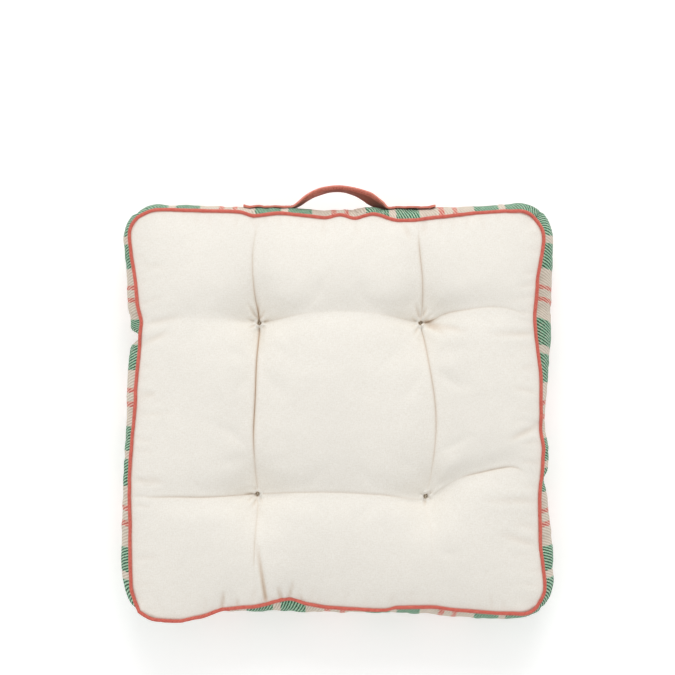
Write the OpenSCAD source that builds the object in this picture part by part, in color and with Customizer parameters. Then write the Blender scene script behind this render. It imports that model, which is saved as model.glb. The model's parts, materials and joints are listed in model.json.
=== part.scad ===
// Square floor cushion: two canvas panels, four side bands, piped seams, through-tufting and a strap handle.
// It lies on the floor. The origin is the centre of the flat underside, +Z up, +Y towards the handle side.

/* [Cushion] */
// Width of the seam outline, left to right
seam_w = 576; // [500:2:640]
// Depth of the seam outline, front to back
seam_d = 556; // [480:2:620]
// Corner radius of the seam outline
corner_r = 36; // [32:1:46]
// Height of the lower seam above the floor
lower_seam_z = 16; // [14:1:20]
// Height of the upper seam above the floor
upper_seam_z = 104; // [96:1:112]
// Rise of the top panel above its seam
top_crown = 24; // [18:1:30]
// Free swell of the bottom panel below its seam, which the floor presses flat
bottom_swell = 40; // [30:1:50]
// How far each side band bulges past the seam
band_bulge = 11; // [8:1:14]
// Thickness of the canvas and of the side band cloth
cloth_t = 1; // [0.8:0.1:1.4]

/* [Piping] */
// Radius over the piping's cloth cover
piping_r = 2.7; // [2.4:0.1:3.4]
// Radius of the cord inside the piping
piping_cord_r = 1.7; // [1.4:0.1:2.2]

/* [Tufts] */
// Distance of a tuft from the middle, left to right
tuft_x = 116; // [100:1:130]
// Distance of a tuft from the middle, front to back
tuft_y = 120; // [100:1:130]
// Height of the tuft stitch on the top panel
tuft_top_z = 84; // [76:1:92]
// Height of the tuft stitch on the underside
tuft_bottom_z = 28; // [22:1:34]
// Radius of the round hollow about each tuft
hollow_r = 90; // [80:1:100]
// Radius of the tufting twine
twine_r = 0.8; // [0.6:0.1:1]
// Length of the stitch that each tuft makes in the cloth
stitch_l = 6; // [5:1:8]

/* [Handle] */
// Width of the strap
strap_w = 26; // [22:1:28]
// Thickness of the folded strap
strap_t = 2.4; // [2:0.1:3]
// Distance between the two places where the strap leaves the side band
strap_span = 136; // [120:2:150]
// Length of each strap end that is sewn down
strap_end_l = 68; // [55:1:75]
// How far the arch of the strap stands out past the side band
strap_reach = 29; // [26:1:32]
// Length of the free middle of the strap that swings as the grip
grip_l = 84; // [70:2:86]
// Radius of the sewing thread
thread_r = 0.4; // [0.3:0.05:0.5]

/* [Hidden] */

canvas_color = "#f1ece3";
twill_color = "#6f9f80";
coral_color = "#d9796a";
fibre_color = "#ffffff";
cord_color = "#e8e4da";
twine_color = "#8a7a5c";
grip_color = "#e08c7d";

// Running clearance between neighbouring pieces of cloth
gap = 0.2;
// Clearance between the piping cord and its cover
cord_gap = 0.1;
// Clearance round the twine where it passes through cloth and filling
twine_gap = 0.15;
// Room by which one shape runs past another that it cuts or joins
over = 1;
// The curve of the top panel would rise a little past its level middle.
top_swell = top_crown + 3;
// Distance of the filling's sides from the edge of the panels
filling_inset = 2;

// Panels end where they meet the inner side of the piping.
panel_w = seam_w - 2 * (piping_r + gap);
panel_d = seam_d - 2 * (piping_r + gap);
panel_r = corner_r - piping_r - gap;

// Bands run from the lower piping to the upper piping.
mid_z = (lower_seam_z + upper_seam_z) / 2;
band_low = lower_seam_z + piping_r + gap;
band_high = upper_seam_z - piping_r - gap;
band_half = (band_high - band_low) / 2;
// Radius of the circle through a band's two edges and its bulge
band_r = (band_half * band_half + band_bulge * band_bulge) / (2 * band_bulge);
// Where a band's circle has its centre, measured from the corner's axis
band_centre = corner_r + band_bulge - band_r;
back_y = seam_d / 2 + band_bulge;

// Axis about which the strap folds up and down where it leaves the band
strap_axis_y = back_y + gap + strap_t;
strap_crown_y = back_y + strap_reach;
strap_rise = strap_crown_y - strap_axis_y;
strap_half = strap_span / 2;
strap_r = (strap_half * strap_half + strap_rise * strap_rise) / (2 * strap_rise);
// Clearance between the swinging grip and the fixed strap ends
grip_gap = 0.4;
stitch_inset = 6;

fine = 96;
very_fine = 720;

// Radius of the circle that rises by sag over a given span
function arc_r(span, sag) = (span * span / 4 + sag * sag) / (2 * sag);

module rounded_rect(w, d, r) {
    square([w - 2 * r, d], center = true);
    square([w, d - 2 * r], center = true);
    for (x = [-1, 1], y = [-1, 1])
        translate([x * (w / 2 - r), y * (d / 2 - r)])
            circle(r, $fn = fine);
}

// Long cylinder lying along X or Y, wide enough to act as a gently curved face
module face_roll(span, sag, along) {
    r = arc_r(span, sag);
    rotate(along == "x" ? 90 : 0)
        rotate([90, 0, 0])
            cylinder(h = 2 * seam_w, r = r, center = true, $fn = very_fine);
}

// Everything under the top panel's outer face, lowered by drop, with the tufts' hollows
module under_top(drop) {
    difference() {
        intersection() {
            translate([0, 0, upper_seam_z + top_swell - drop - arc_r(panel_w, top_swell)])
                face_roll(panel_w, top_swell, "y");
            translate([0, 0, upper_seam_z + top_swell - drop - arc_r(panel_d, top_swell)])
                face_roll(panel_d, top_swell, "x");
            translate([-seam_w, -seam_w, 0])
                cube([2 * seam_w, 2 * seam_w, upper_seam_z + top_crown - drop]);
        }
        for (x = [-1, 1], y = [-1, 1])
            translate([x * tuft_x, y * tuft_y, tuft_top_z + hollow_r])
                sphere(hollow_r + drop, $fn = fine);
    }
}

// Everything over the bottom panel's outer face, raised by lift, with the tufts' hollows
module over_bottom(lift) {
    difference() {
        intersection() {
            translate([0, 0, lower_seam_z - bottom_swell + lift + arc_r(panel_w, bottom_swell)])
                face_roll(panel_w, bottom_swell, "y");
            translate([0, 0, lower_seam_z - bottom_swell + lift + arc_r(panel_d, bottom_swell)])
                face_roll(panel_d, bottom_swell, "x");
            translate([-seam_w, -seam_w, lift])
                cube([2 * seam_w, 2 * seam_w, seam_w]);
        }
        for (x = [-1, 1], y = [-1, 1])
            translate([x * tuft_x, y * tuft_y, tuft_bottom_z - hollow_r])
                sphere(hollow_r + lift, $fn = fine);
    }
}

// The pairs of holes that the twine makes, as solid rods
module twine_holes(low, high) {
    for (x = [-tuft_x, tuft_x], y = [-tuft_y, tuft_y], side = [-1, 1])
        translate([x + side * stitch_l / 2, y, low])
            cylinder(h = high - low, r = twine_r + twine_gap, $fn = 32);
}

module top_panel() {
    color(canvas_color)
        difference() {
            intersection() {
                translate([0, 0, tuft_top_z - 2 * over])
                    linear_extrude(upper_seam_z + top_crown - tuft_top_z + 3 * over)
                        rounded_rect(panel_w, panel_d, panel_r);
                under_top(0);
            }
            under_top(cloth_t);
            twine_holes(tuft_top_z - 4 * over, tuft_top_z + 4 * over);
        }
}

module bottom_panel() {
    color(canvas_color)
        difference() {
            intersection() {
                translate([0, 0, -over])
                    linear_extrude(tuft_bottom_z + 3 * over)
                        rounded_rect(panel_w, panel_d, panel_r);
                over_bottom(0);
            }
            over_bottom(cloth_t);
            twine_holes(tuft_bottom_z - 4 * over, tuft_bottom_z + 4 * over);
        }
}

// Cross-section of a side band, drawn outwards from the corner's axis
module band_section() {
    intersection() {
        difference() {
            translate([band_centre, mid_z]) circle(band_r, $fn = 2 * fine);
            translate([band_centre, mid_z]) circle(band_r - cloth_t, $fn = 2 * fine);
        }
        translate([corner_r / 2, band_low])
            square([corner_r, band_high - band_low]);
    }
}

// One side band: the straight run and half of each rounded corner
module side_band(length, depth) {
    run = length - 2 * corner_r;
    translate([0, depth / 2 - corner_r, 0]) {
        translate([-run / 2, 0, 0])
            rotate([90, 0, 90])
                linear_extrude(run)
                    band_section();
        translate([run / 2, 0, 0])
            rotate(45)
                rotate_extrude(angle = 45, $fn = fine)
                    band_section();
        translate([-run / 2, 0, 0])
            rotate(90)
                rotate_extrude(angle = 45, $fn = fine)
                    band_section();
    }
}

module gusset_back() {
    color(twill_color) side_band(seam_w, seam_d);
}

module gusset_front() {
    color(twill_color) rotate(180) side_band(seam_w, seam_d);
}

module gusset_left() {
    color(twill_color) rotate(90) side_band(seam_d, seam_w);
}

module gusset_right() {
    color(twill_color) rotate(-90) side_band(seam_d, seam_w);
}

// A round section carried along the whole seam outline
module seam_loop(z) {
    run_x = seam_w - 2 * corner_r;
    run_y = seam_d - 2 * corner_r;
    translate([0, 0, z]) {
        for (side = [0, 180])
            rotate(side) {
                translate([-run_x / 2, run_y / 2, 0])
                    rotate([90, 0, 90])
                        linear_extrude(run_x)
                            translate([corner_r, 0]) children();
                translate([run_x / 2, -run_y / 2, 0])
                    rotate([90, 0, 0])
                        mirror([0, 0, 1])
                            linear_extrude(run_y)
                                translate([corner_r, 0]) children();
            }
        for (x = [0, 1], y = [0, 1])
            mirror([x, 0, 0])
                mirror([0, y, 0])
                    translate([run_x / 2, run_y / 2, 0])
                        rotate_extrude(angle = 90, $fn = fine)
                            translate([corner_r, 0]) children();
    }
}

module piping_cover(z) {
    color(coral_color)
        seam_loop(z)
            difference() {
                circle(piping_r, $fn = 48);
                circle(piping_cord_r + cord_gap, $fn = 48);
            }
}

module piping_cord(z) {
    color(cord_color)
        seam_loop(z)
            circle(piping_cord_r, $fn = 48);
}

module top_piping_cover() {
    piping_cover(upper_seam_z);
}

module top_piping_cord() {
    piping_cord(upper_seam_z);
}

module bottom_piping_cover() {
    piping_cover(lower_seam_z);
}

module bottom_piping_cord() {
    piping_cord(lower_seam_z);
}

module filling() {
    color(fibre_color)
        difference() {
            intersection() {
                linear_extrude(upper_seam_z + top_crown)
                    rounded_rect(
                        panel_w - 2 * filling_inset,
                        panel_d - 2 * filling_inset,
                        panel_r - filling_inset
                    );
                under_top(cloth_t + gap);
                over_bottom(cloth_t + gap);
            }
            twine_holes(0, upper_seam_z);
        }
}

// A loop of twine through the cushion: up one hole, across, down the other, and a knot below
module tuft_twine(x, y) {
    top = tuft_top_z + twine_r + twine_gap;
    bottom = tuft_bottom_z - twine_r - twine_gap;
    color(twine_color)
        translate([x * tuft_x, y * tuft_y, 0]) {
            for (side = [-1, 1])
                translate([side * stitch_l / 2, 0, bottom]) {
                    cylinder(h = top - bottom, r = twine_r, $fn = 32);
                    sphere(twine_r, $fn = 32);
                    translate([0, 0, top - bottom]) sphere(twine_r, $fn = 32);
                }
            for (z = [bottom, top])
                translate([-stitch_l / 2, 0, z])
                    rotate([0, 90, 0])
                        cylinder(h = stitch_l, r = twine_r, $fn = 32);
            translate([0, 0, bottom - 2 * twine_r])
                sphere(2.5 * twine_r, $fn = 32);
        }
}

module tuft_twine_front_left() {
    tuft_twine(-1, -1);
}

module tuft_twine_front_right() {
    tuft_twine(1, -1);
}

module tuft_twine_back_left() {
    tuft_twine(-1, 1);
}

module tuft_twine_back_right() {
    tuft_twine(1, 1);
}

// The strap's arch seen from above, between two distances from the middle
module strap_arch(from_x, to_x) {
    intersection() {
        translate([0, strap_crown_y - strap_r])
            difference() {
                circle(strap_r, $fn = very_fine);
                circle(strap_r - strap_t, $fn = very_fine);
            }
        translate([from_x, back_y + gap])
            square([to_x - from_x, strap_reach + over]);
    }
}

module handle_grip() {
    color(grip_color)
        translate([0, 0, mid_z - strap_w / 2])
            linear_extrude(strap_w)
                strap_arch(-grip_l / 2, grip_l / 2);
}

// Sewn strap end, curved to lie on the band, with the stretch that lifts off it
module handle_end(side) {
    color(coral_color)
        mirror([side < 0 ? 1 : 0, 0, 0]) {
            translate([strap_half - over / 2, 0, 0])
                rotate([90, 0, 90])
                    linear_extrude(strap_end_l + over / 2)
                        intersection() {
                            translate([seam_d / 2 - corner_r + band_centre, mid_z])
                                difference() {
                                    circle(band_r + gap + strap_t, $fn = 2 * fine);
                                    circle(band_r + gap, $fn = 2 * fine);
                                }
                            translate([seam_d / 2, mid_z - strap_w / 2])
                                square([corner_r, strap_w]);
                        }
            translate([0, 0, mid_z - strap_w / 2])
                linear_extrude(strap_w)
                    strap_arch(grip_l / 2 + grip_gap, strap_half);
        }
}

module handle_end_left() {
    handle_end(-1);
}

module handle_end_right() {
    handle_end(1);
}

// Box of stitches on a strap end: two runs along the strap and two across it
module handle_stitching(side) {
    seat_r = band_r + 2 * gap + strap_t + thread_r;
    half_angle = asin((strap_w / 2 - stitch_inset / 2) / seat_r);
    near = strap_half + stitch_inset;
    run = strap_end_l - 2 * stitch_inset;
    color(coral_color)
        mirror([side < 0 ? 1 : 0, 0, 0])
            translate([near, seam_d / 2 - corner_r + band_centre, mid_z])
                rotate([90, 0, 90]) {
                    for (turn = [-half_angle, half_angle])
                        rotate(turn)
                            translate([seat_r, 0, -thread_r])
                                cylinder(h = run + 2 * thread_r, r = thread_r, $fn = 24);
                    for (x = [thread_r, run - thread_r])
                        translate([0, 0, x])
                            rotate(-half_angle)
                                rotate_extrude(angle = 2 * half_angle, $fn = 2 * fine)
                                    translate([seat_r, 0]) circle(0.8 * thread_r, $fn = 24);
                }
}

module handle_stitching_left() {
    handle_stitching(-1);
}

module handle_stitching_right() {
    handle_stitching(1);
}

top_panel();
bottom_panel();
gusset_front();
gusset_back();
gusset_left();
gusset_right();
top_piping_cover();
top_piping_cord();
bottom_piping_cover();
bottom_piping_cord();
filling();
tuft_twine_front_left();
tuft_twine_front_right();
tuft_twine_back_left();
tuft_twine_back_right();
handle_grip();
handle_end_left();
handle_end_right();
handle_stitching_left();
handle_stitching_right();
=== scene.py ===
import json
import math
import random
import bpy
import numpy as np
from mathutils import Matrix, Vector, noise
from mathutils.bvhtree import BVHTree


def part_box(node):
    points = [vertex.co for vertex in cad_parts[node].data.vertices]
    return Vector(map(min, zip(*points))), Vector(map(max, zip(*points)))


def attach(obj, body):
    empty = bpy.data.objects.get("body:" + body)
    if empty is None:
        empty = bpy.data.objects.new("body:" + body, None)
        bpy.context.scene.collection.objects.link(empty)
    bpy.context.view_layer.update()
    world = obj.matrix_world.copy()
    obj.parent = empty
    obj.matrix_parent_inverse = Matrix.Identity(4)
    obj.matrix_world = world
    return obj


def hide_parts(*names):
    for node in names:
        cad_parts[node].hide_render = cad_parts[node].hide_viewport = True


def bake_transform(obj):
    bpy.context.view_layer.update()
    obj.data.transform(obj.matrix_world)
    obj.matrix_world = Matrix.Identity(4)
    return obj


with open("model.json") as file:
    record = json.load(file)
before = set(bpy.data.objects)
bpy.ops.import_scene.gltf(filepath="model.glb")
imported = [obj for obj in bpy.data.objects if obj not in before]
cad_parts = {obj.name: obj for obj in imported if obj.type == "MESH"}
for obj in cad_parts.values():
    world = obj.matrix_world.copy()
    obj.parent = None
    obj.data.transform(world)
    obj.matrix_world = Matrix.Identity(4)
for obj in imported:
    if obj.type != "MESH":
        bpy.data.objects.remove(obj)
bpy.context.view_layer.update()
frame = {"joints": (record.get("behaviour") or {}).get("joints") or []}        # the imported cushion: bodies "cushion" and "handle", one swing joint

# Places from the frame
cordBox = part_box("top_piping_cord")
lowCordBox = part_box("bottom_piping_cord")
cordRadius = (cordBox[1].z - cordBox[0].z) / 2
pipingRadius = (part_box("top_piping_cover")[1].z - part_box("top_piping_cover")[0].z) / 2
seamHalfX = cordBox[1].x - cordRadius      # seam outline, half its width
seamHalfY = cordBox[1].y - cordRadius      # and half its depth
topSeamZ = (cordBox[0].z + cordBox[1].z) / 2
lowSeamZ = (lowCordBox[0].z + lowCordBox[1].z) / 2
midZ = (topSeamZ + lowSeamZ) / 2
swing = frame["joints"][0]
swingY = swing["pos_m"][1]


def tuftPlace(name):
    low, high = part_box("tuft_twine_" + name)
    return (low.x + high.x) / 2, (low.y + high.y) / 2


# Camera
shot = {"lens": 110.0, "height": 2.99, "place": (-.0028, .102)}

cameraData = bpy.data.cameras.new("camera")
cameraData.lens = shot["lens"]
camera = bpy.data.objects.new("camera", cameraData)
bpy.context.scene.collection.objects.link(camera)
camera.location = (*shot["place"], shot["height"])       # straight down, the handle side at the top
bpy.context.scene.camera = camera
print("camera set")


# Small helpers
def deselectAll():
    if bpy.context.object and bpy.context.object.mode != "OBJECT":
        bpy.ops.object.mode_set(mode="OBJECT")
    bpy.ops.object.select_all(action="DESELECT")


def pick(obj):
    deselectAll()
    obj.select_set(True)
    bpy.context.view_layer.objects.active = obj


def getCo(mesh):
    co = np.empty(len(mesh.vertices) * 3)
    mesh.vertices.foreach_get("co", co)
    return co.reshape(-1, 3)


def setCo(mesh, co):
    mesh.vertices.foreach_set("co", np.ascontiguousarray(co, float).ravel())
    mesh.update()


def getNormals(mesh):
    normals = np.empty(len(mesh.vertices) * 3)
    mesh.vertex_normals.foreach_get("vector", normals)
    return normals.reshape(-1, 3)


def getCorners(mesh):
    # the vertex at each face corner
    corners = np.empty(len(mesh.loops), int)
    mesh.loops.foreach_get("vertex_index", corners)
    return corners


def setLayout(mesh, uv):
    # the cloth's own layout in metres, one row for each face corner, in place of any other
    while mesh.uv_layers:
        mesh.uv_layers.remove(mesh.uv_layers[0])
    layer = mesh.uv_layers.new(name="cloth")
    layer.data.foreach_set("uv", uv.astype(np.float32).ravel())


def getValue(mesh, name):
    values = np.empty(len(mesh.vertices), np.float32)
    mesh.attributes[name].data.foreach_get("value", values)
    return values.astype(float)


def setValue(mesh, name, values):
    layer = mesh.attributes.get(name) or mesh.attributes.new(name, "FLOAT", "POINT")
    layer.data.foreach_set("value", np.asarray(values, np.float32))


def applyModifier(obj, name):
    pick(obj)
    bpy.ops.object.modifier_apply(modifier=name)


def joinAll(parts, name):
    deselectAll()
    for part in parts:
        part.select_set(True)
    bpy.context.view_layer.objects.active = parts[0]
    bpy.ops.object.join()
    parts[0].name = parts[0].data.name = name
    return parts[0]


def bell(distance, width):
    return np.exp(-(distance / width) ** 2)


def lengthAlong(points):
    # how far along its line each point lies
    return np.concatenate([[0], np.cumsum(np.linalg.norm(np.diff(points, axis=0), axis=1))])


# The cover's outline. How far the piping stands off the plain outline along each side, in metres:
# (along the side, outwards)
seamWander = {
    "left": [(-.278, .003), (-.209, .005), (-.097, .006), (.015, -.002), (.105, -.009), (.124, -.011),
             (.150, -.005), (.253, .007), (.278, .003)],
    "right": [(-.278, 0), (-.251, 0), (-.181, -.007), (-.125, -.008), (-.055, -.002), (-.027, -.006),
              (.043, -.006), (.127, -.015), (.180, -.011), (.239, -.002), (.278, -.004)],
    "back": [(-.288, .003), (-.251, .003), (-.139, 0), (-.120, -.006), (-.083, -.002), (-.020, -.008),
             (.001, -.004), (.021, -.009), (.047, -.003), (.080, -.012), (.105, -.012), (.141, -.007),
             (.197, -.0015), (.232, .001), (.288, .001)],
    "front": [(-.288, .014), (-.223, .017), (-.195, .011), (-.160, 0), (-.125, -.003), (-.069, -.014),
              (-.045, -.007), (-.013, -.002), (.040, .001), (.064, .002), (.080, -.002), (.127, -.003),
              (.169, .002), (.225, .006), (.288, .008)],
}
# How far the band's middle stands out past the plain outline: (along the side, outwards)
bandStand = {
    "left": [(-.278, .017), (-.200, .021), (-.100, .017), (.000, .014), (.060, .013), (.090, .009),
             (.104, -.004), (.116, .008), (.160, .013), (.253, .018), (.278, .017)],
    "right": [(-.278, .016), (-.200, .015), (-.125, .008), (-.100, .001), (-.085, .008), (-.055, .008),
              (-.020, .003), (.050, .009), (.127, .012), (.200, .015), (.278, .016)],
    "back": [(-.288, .016), (-.220, .011), (-.100, .008), (0, .007), (.100, .007), (.180, .010),
             (.288, .016)],
    "front": [(-.288, .014), (-.223, .013), (-.150, .008), (-.100, .009), (-.060, .010), (0, .009),
              (.060, .009), (.120, .012), (.180, .017), (.225, .019), (.288, .016)],
}
# Where the tufts sit, off their even places
tuftShift = {"back_left": (.003, .002), "back_right": (-.002, .002),
             "front_left": (.001, .002), "front_right": (.005, -.001)}
tufts = {}
for tuftName, (shiftX, shiftY) in tuftShift.items():
    evenX, evenY = tuftPlace(tuftName)
    tufts[tuftName] = (evenX + shiftX, evenY + shiftY)

# Creases from seam to seam through the tufts: (along, across); how deep the valley is along each, and how
# far its bottom closes to a line
creases = {
    "left": {"axis": "y", "route": [(-.278, -.121), (-.205, -.1200), (-.118, -.115), (-.075, -.1185),
                                    (-.035, -.120), (.020, -.1175), (.070, -.116), (.122, -.113),
                                    (.168, -.1195), (.217, -.123), (.260, -.1215), (.278, -.121)],
             "valley": [(-.278, .4), (-.200, .5), (-.118, .7), (-.080, .8), (0, 1.0), (.122, 1.0),
                        (.200, .6), (.278, .4)],
             "line": [(-.278, 0), (-.225, .05), (-.207, .35), (-.150, .25), (-.118, .35), (-.075, .35),
                      (-.045, .65), (-.015, 1.0), (.100, 1.0), (.122, .9), (.150, .6), (.200, .4),
                      (.245, .25), (.278, 0)]},
    "right": {"axis": "y", "route": [(-.278, .134), (-.209, .131), (-.163, .128), (-.121, .121),
                                     (-.086, .128), (-.043, .134), (-.009, .135), (.025, .132),
                                     (.065, .1255), (.101, .119), (.122, .114), (.143, .116),
                                     (.183, .1163), (.222, .1124), (.278, .106)],
              "valley": [(-.278, .3), (-.121, .5), (-.020, .8), (.080, .9), (.122, .9), (.200, .8),
                         (.278, .4)],
              "line": [(-.278, 0), (-.150, .06), (-.121, .1), (-.086, .2), (-.060, .4), (.025, .5),
                       (.080, .5), (.122, .55), (.150, .45), (.183, .5), (.222, .55), (.252, .2),
                       (.278, 0)]},
    "back": {"axis": "x", "route": [(-.288, .126), (-.235, .130), (-.153, .128), (-.113, .122),
                                    (-.088, .1275), (-.055, .135), (0, .1395), (.050, .137),
                                    (.090, .128), (.114, .122), (.1485, .136), (.181, .142),
                                    (.2205, .148), (.288, .149)],
             "valley": [(-.288, .3), (-.200, .5), (-.113, .9), (0, .9), (.114, 1.0), (.190, .7),
                        (.288, .4)],
             "line": [(-.288, 0), (-.150, .03), (-.113, .25), (-.090, .2), (-.040, .06), (.050, .06),
                      (.090, .2), (.114, .4), (.150, .35), (.200, .2), (.240, .15), (.275, .05),
                      (.288, 0)]},
    "front": {"axis": "x", "route": [(-.288, -.131), (-.249, -.123), (-.183, -.121), (-.115, -.118),
                                     (-.050, -.114), (.010, -.114), (.053, -.117), (.121, -.121),
                                     (.148, -.102), (.173, -.091), (.199, -.084), (.226, -.074),
                                     (.253, -.060), (.288, -.052)],
              "valley": [(-.288, .5), (-.200, .8), (-.115, .9), (0, .8), (.121, .7), (.190, .9),
                         (.288, .4)],
              "line": [(-.288, .1), (-.255, .35), (-.200, .45), (-.150, .4), (-.115, .35), (-.060, .3),
                       (.010, .25), (.060, .3), (.100, .15), (.121, .05), (.160, .1), (.190, .4),
                       (.225, .5), (.245, .35), (.262, 0), (.288, 0)]},
}


def alongCurve(knots, t):
    # one smooth curve through the knots
    table = np.array(knots, float)
    slope = np.gradient(table[:, 1], table[:, 0])
    k = np.clip(np.searchsorted(table[:, 0], t) - 1, 0, len(table) - 2)
    span = table[k + 1, 0] - table[k, 0]
    a = np.clip((t - table[k, 0]) / span, 0, 1)
    height = table[k, 1] * (1 + 2 * a) * (1 - a) ** 2 + table[k + 1, 1] * a * a * (3 - 2 * a)
    return height + span * (slope[k] * a * (1 - a) ** 2 - slope[k + 1] * a * a * (1 - a))


def alongKnots(knots, t, smooth=1.0):
    # straight between the knots where smooth is 0, and level at each knot where it is 1
    table = np.array(knots, float)
    k = np.clip(np.searchsorted(table[:, 0], t) - 1, 0, len(table) - 2)
    a = np.clip((t - table[k, 0]) / (table[k + 1, 0] - table[k, 0]), 0, 1)
    a = (1 - smooth) * a + smooth * a * a * (3 - 2 * a)
    return table[k, 1] * (1 - a) + table[k + 1, 1] * a


# Cover: one closed shell, blown up as cloth
cover = {
    "cell": 0.006,          # grid before the last subdivision
    "crowding": 1.2,        # how much closer the grid lines stand beside the creases
    "corner": 0.036,        # corner radius of the seam outline
    "ease": 1.04,           # cloth cut this much larger than the outline it fills
    "bandHeight": 0.104,    # cut height of the side bands
    "bandEase": 0.035,      # extra cloth along the middle of the bands
    "bandBulge": 0.014,
    "crown": 0.024,
    "valley": 0.014,        # depth of the drawn-in lines between tufts
    "valleyWidth": 0.020,
    "lineReach": 0.055,     # how far beside a crease the grid bends with it
    "hollowWidth": 0.040,
    "tuftZ": 0.084,
    "lowTuftZ": 0.026,
    "lowCrown": 0.016,
    "lowWander": 0.6,       # share of the upper seam's wandering that the lower seam has
    "seamInset": 0.0012,    # the cloth meets this far inside the piping's middle
    "dipWidth": 0.010,      # width of a place where the piping tucks down
    "frames": 30,
    "smoothing": 6.0,       # grid steps over which the band's stand is evened out
}
# How the cloth behaves while it is blown up
clothing = {
    "quality": 6, "mass": 0.05, "air_damping": 2, "bending_stiffness": 0.08, "bending_damping": 1,
    "tension_stiffness": 80, "compression_stiffness": 40, "shear_stiffness": 10,
    "tension_damping": 15, "compression_damping": 15, "shear_damping": 10,
    "use_pressure": True, "uniform_pressure_force": 22.0,
}


def roundedOutline(x, y, halfX, halfY, radius):
    # moves points of a rectangle's edge on to its rounded corners
    coreX = np.clip(x, radius - halfX, halfX - radius)
    coreY = np.clip(y, radius - halfY, halfY - radius)
    dx, dy = x - coreX, y - coreY
    length = np.hypot(dx, dy)
    corner = (np.abs(dx) > 1e-9) & (np.abs(dy) > 1e-9)
    reach = np.where(corner, radius / np.where(length < 1e-9, 1, length), 1)
    return coreX + dx * reach, coreY + dy * reach


# Places where the piping tucks down under gathered cloth: (x, y, how deep)
seamTucks = [(.272, .270, .005), (.272, -.271, .005), (-.279, .092, .003), (.283, -.026, .003),
             (.073, -.281, .004), (-.064, -.264, .003), (.092, .267, .003), (-.284, -.262, .003)]


def seamDip(x, y):
    return sum(-depth * bell(np.hypot(x - tuckX, y - tuckY), cover["dipWidth"])
               for tuckX, tuckY, depth in seamTucks)


def outward(u, v):
    # the way out of the outline at a point (u, v) of the unit square's edge
    halfX, halfY, radius = seamHalfX, seamHalfY, cover["corner"]
    x, y = roundedOutline(u * halfX, v * halfY, halfX, halfY, radius)
    dx = x - np.clip(x, radius - halfX, halfX - radius)
    dy = y - np.clip(y, radius - halfY, halfY - radius)
    length = np.maximum(np.hypot(dx, dy), 1e-9)
    return dx / length, dy / length


def seamPath(u, v, wander, inset=0.0):
    # the seam's outline at a point (u, v) of the unit square's edge
    halfX, halfY = seamHalfX - inset, seamHalfY - inset
    x, y = roundedOutline(u * halfX, v * halfY, halfX, halfY, cover["corner"])
    offX = np.where(u > 0, alongKnots(seamWander["right"], y, .6), -alongKnots(seamWander["left"], y, .6))
    offY = np.where(v > 0, alongKnots(seamWander["back"], x, .6), -alongKnots(seamWander["front"], x, .6))
    return x + wander * offX * np.abs(u) ** 12, y + wander * offY * np.abs(v) ** 12


def makeGrid():
    # a cube cut into an even grid: its four upright edges are the corner seams
    deselectAll()
    bpy.ops.mesh.primitive_cube_add(size=2)
    obj = bpy.context.object
    counts = (round(2 * seamHalfX / cover["cell"]), round(2 * seamHalfY / cover["cell"]),
              round(cover["bandHeight"] / cover["cell"]))
    for axis in (2, 0, 1):
        bpy.ops.object.mode_set(mode="EDIT")
        bpy.ops.mesh.select_mode(type="EDGE")
        bpy.ops.mesh.select_all(action="DESELECT")
        bpy.ops.object.mode_set(mode="OBJECT")
        co = getCo(obj.data)
        for edge in obj.data.edges:
            span = np.abs(co[edge.vertices[0]] - co[edge.vertices[1]])
            edge.select = int(np.argmax(span)) == axis
        bpy.ops.object.mode_set(mode="EDIT")
        bpy.ops.mesh.subdivide(number_cuts=counts[axis] - 1)
        bpy.ops.object.mode_set(mode="OBJECT")
    return obj


def crowd(lines, places):
    # draws even grid lines closer together beside the tufts and creases
    even = np.linspace(-1, 1, 4001)
    density = 1 + cover["crowding"] * sum(bell(even - place, .085) for place in places)
    reached = np.concatenate([[0], np.cumsum((density[1:] + density[:-1]) / 2)])
    return np.interp(lines, 2 * reached / reached[-1] - 1, even)


coverObj = makeGrid()
coverObj.name = "cover"
grid = getCo(coverObj.data)
tuftU = np.mean([abs(x) for x, y in tufts.values()]) / seamHalfX
tuftV = np.mean([abs(y) for x, y in tufts.values()]) / seamHalfY
gridU, gridV = crowd(grid[:, 0], (-tuftU, tuftU)), crowd(grid[:, 1], (-tuftV, tuftV))
gridW = grid[:, 2]
onTop = gridW > 1 - 1e-6
onBottom = gridW < -1 + 1e-6
onSide = ~(onTop | onBottom)
edgeU = np.abs(gridU) > 1 - 1e-6
edgeV = np.abs(gridV) > 1 - 1e-6
seamRow = (onTop | onBottom) & (edgeU | edgeV)


def nearestLine(values, wanted):
    lines = np.unique(np.round(values, 6))
    return lines[np.argmin(np.abs(lines - wanted))]


# Grid lines that become the creases, as shares of the half width and half depth
creaseLine = {
    "left": nearestLine(gridU, -abs(tufts["back_left"][0]) / seamHalfX),
    "right": nearestLine(gridU, abs(tufts["back_right"][0]) / seamHalfX),
    "back": nearestLine(gridV, abs(tufts["back_left"][1]) / seamHalfY),
    "front": nearestLine(gridV, -abs(tufts["front_left"][1]) / seamHalfY),
}


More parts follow.
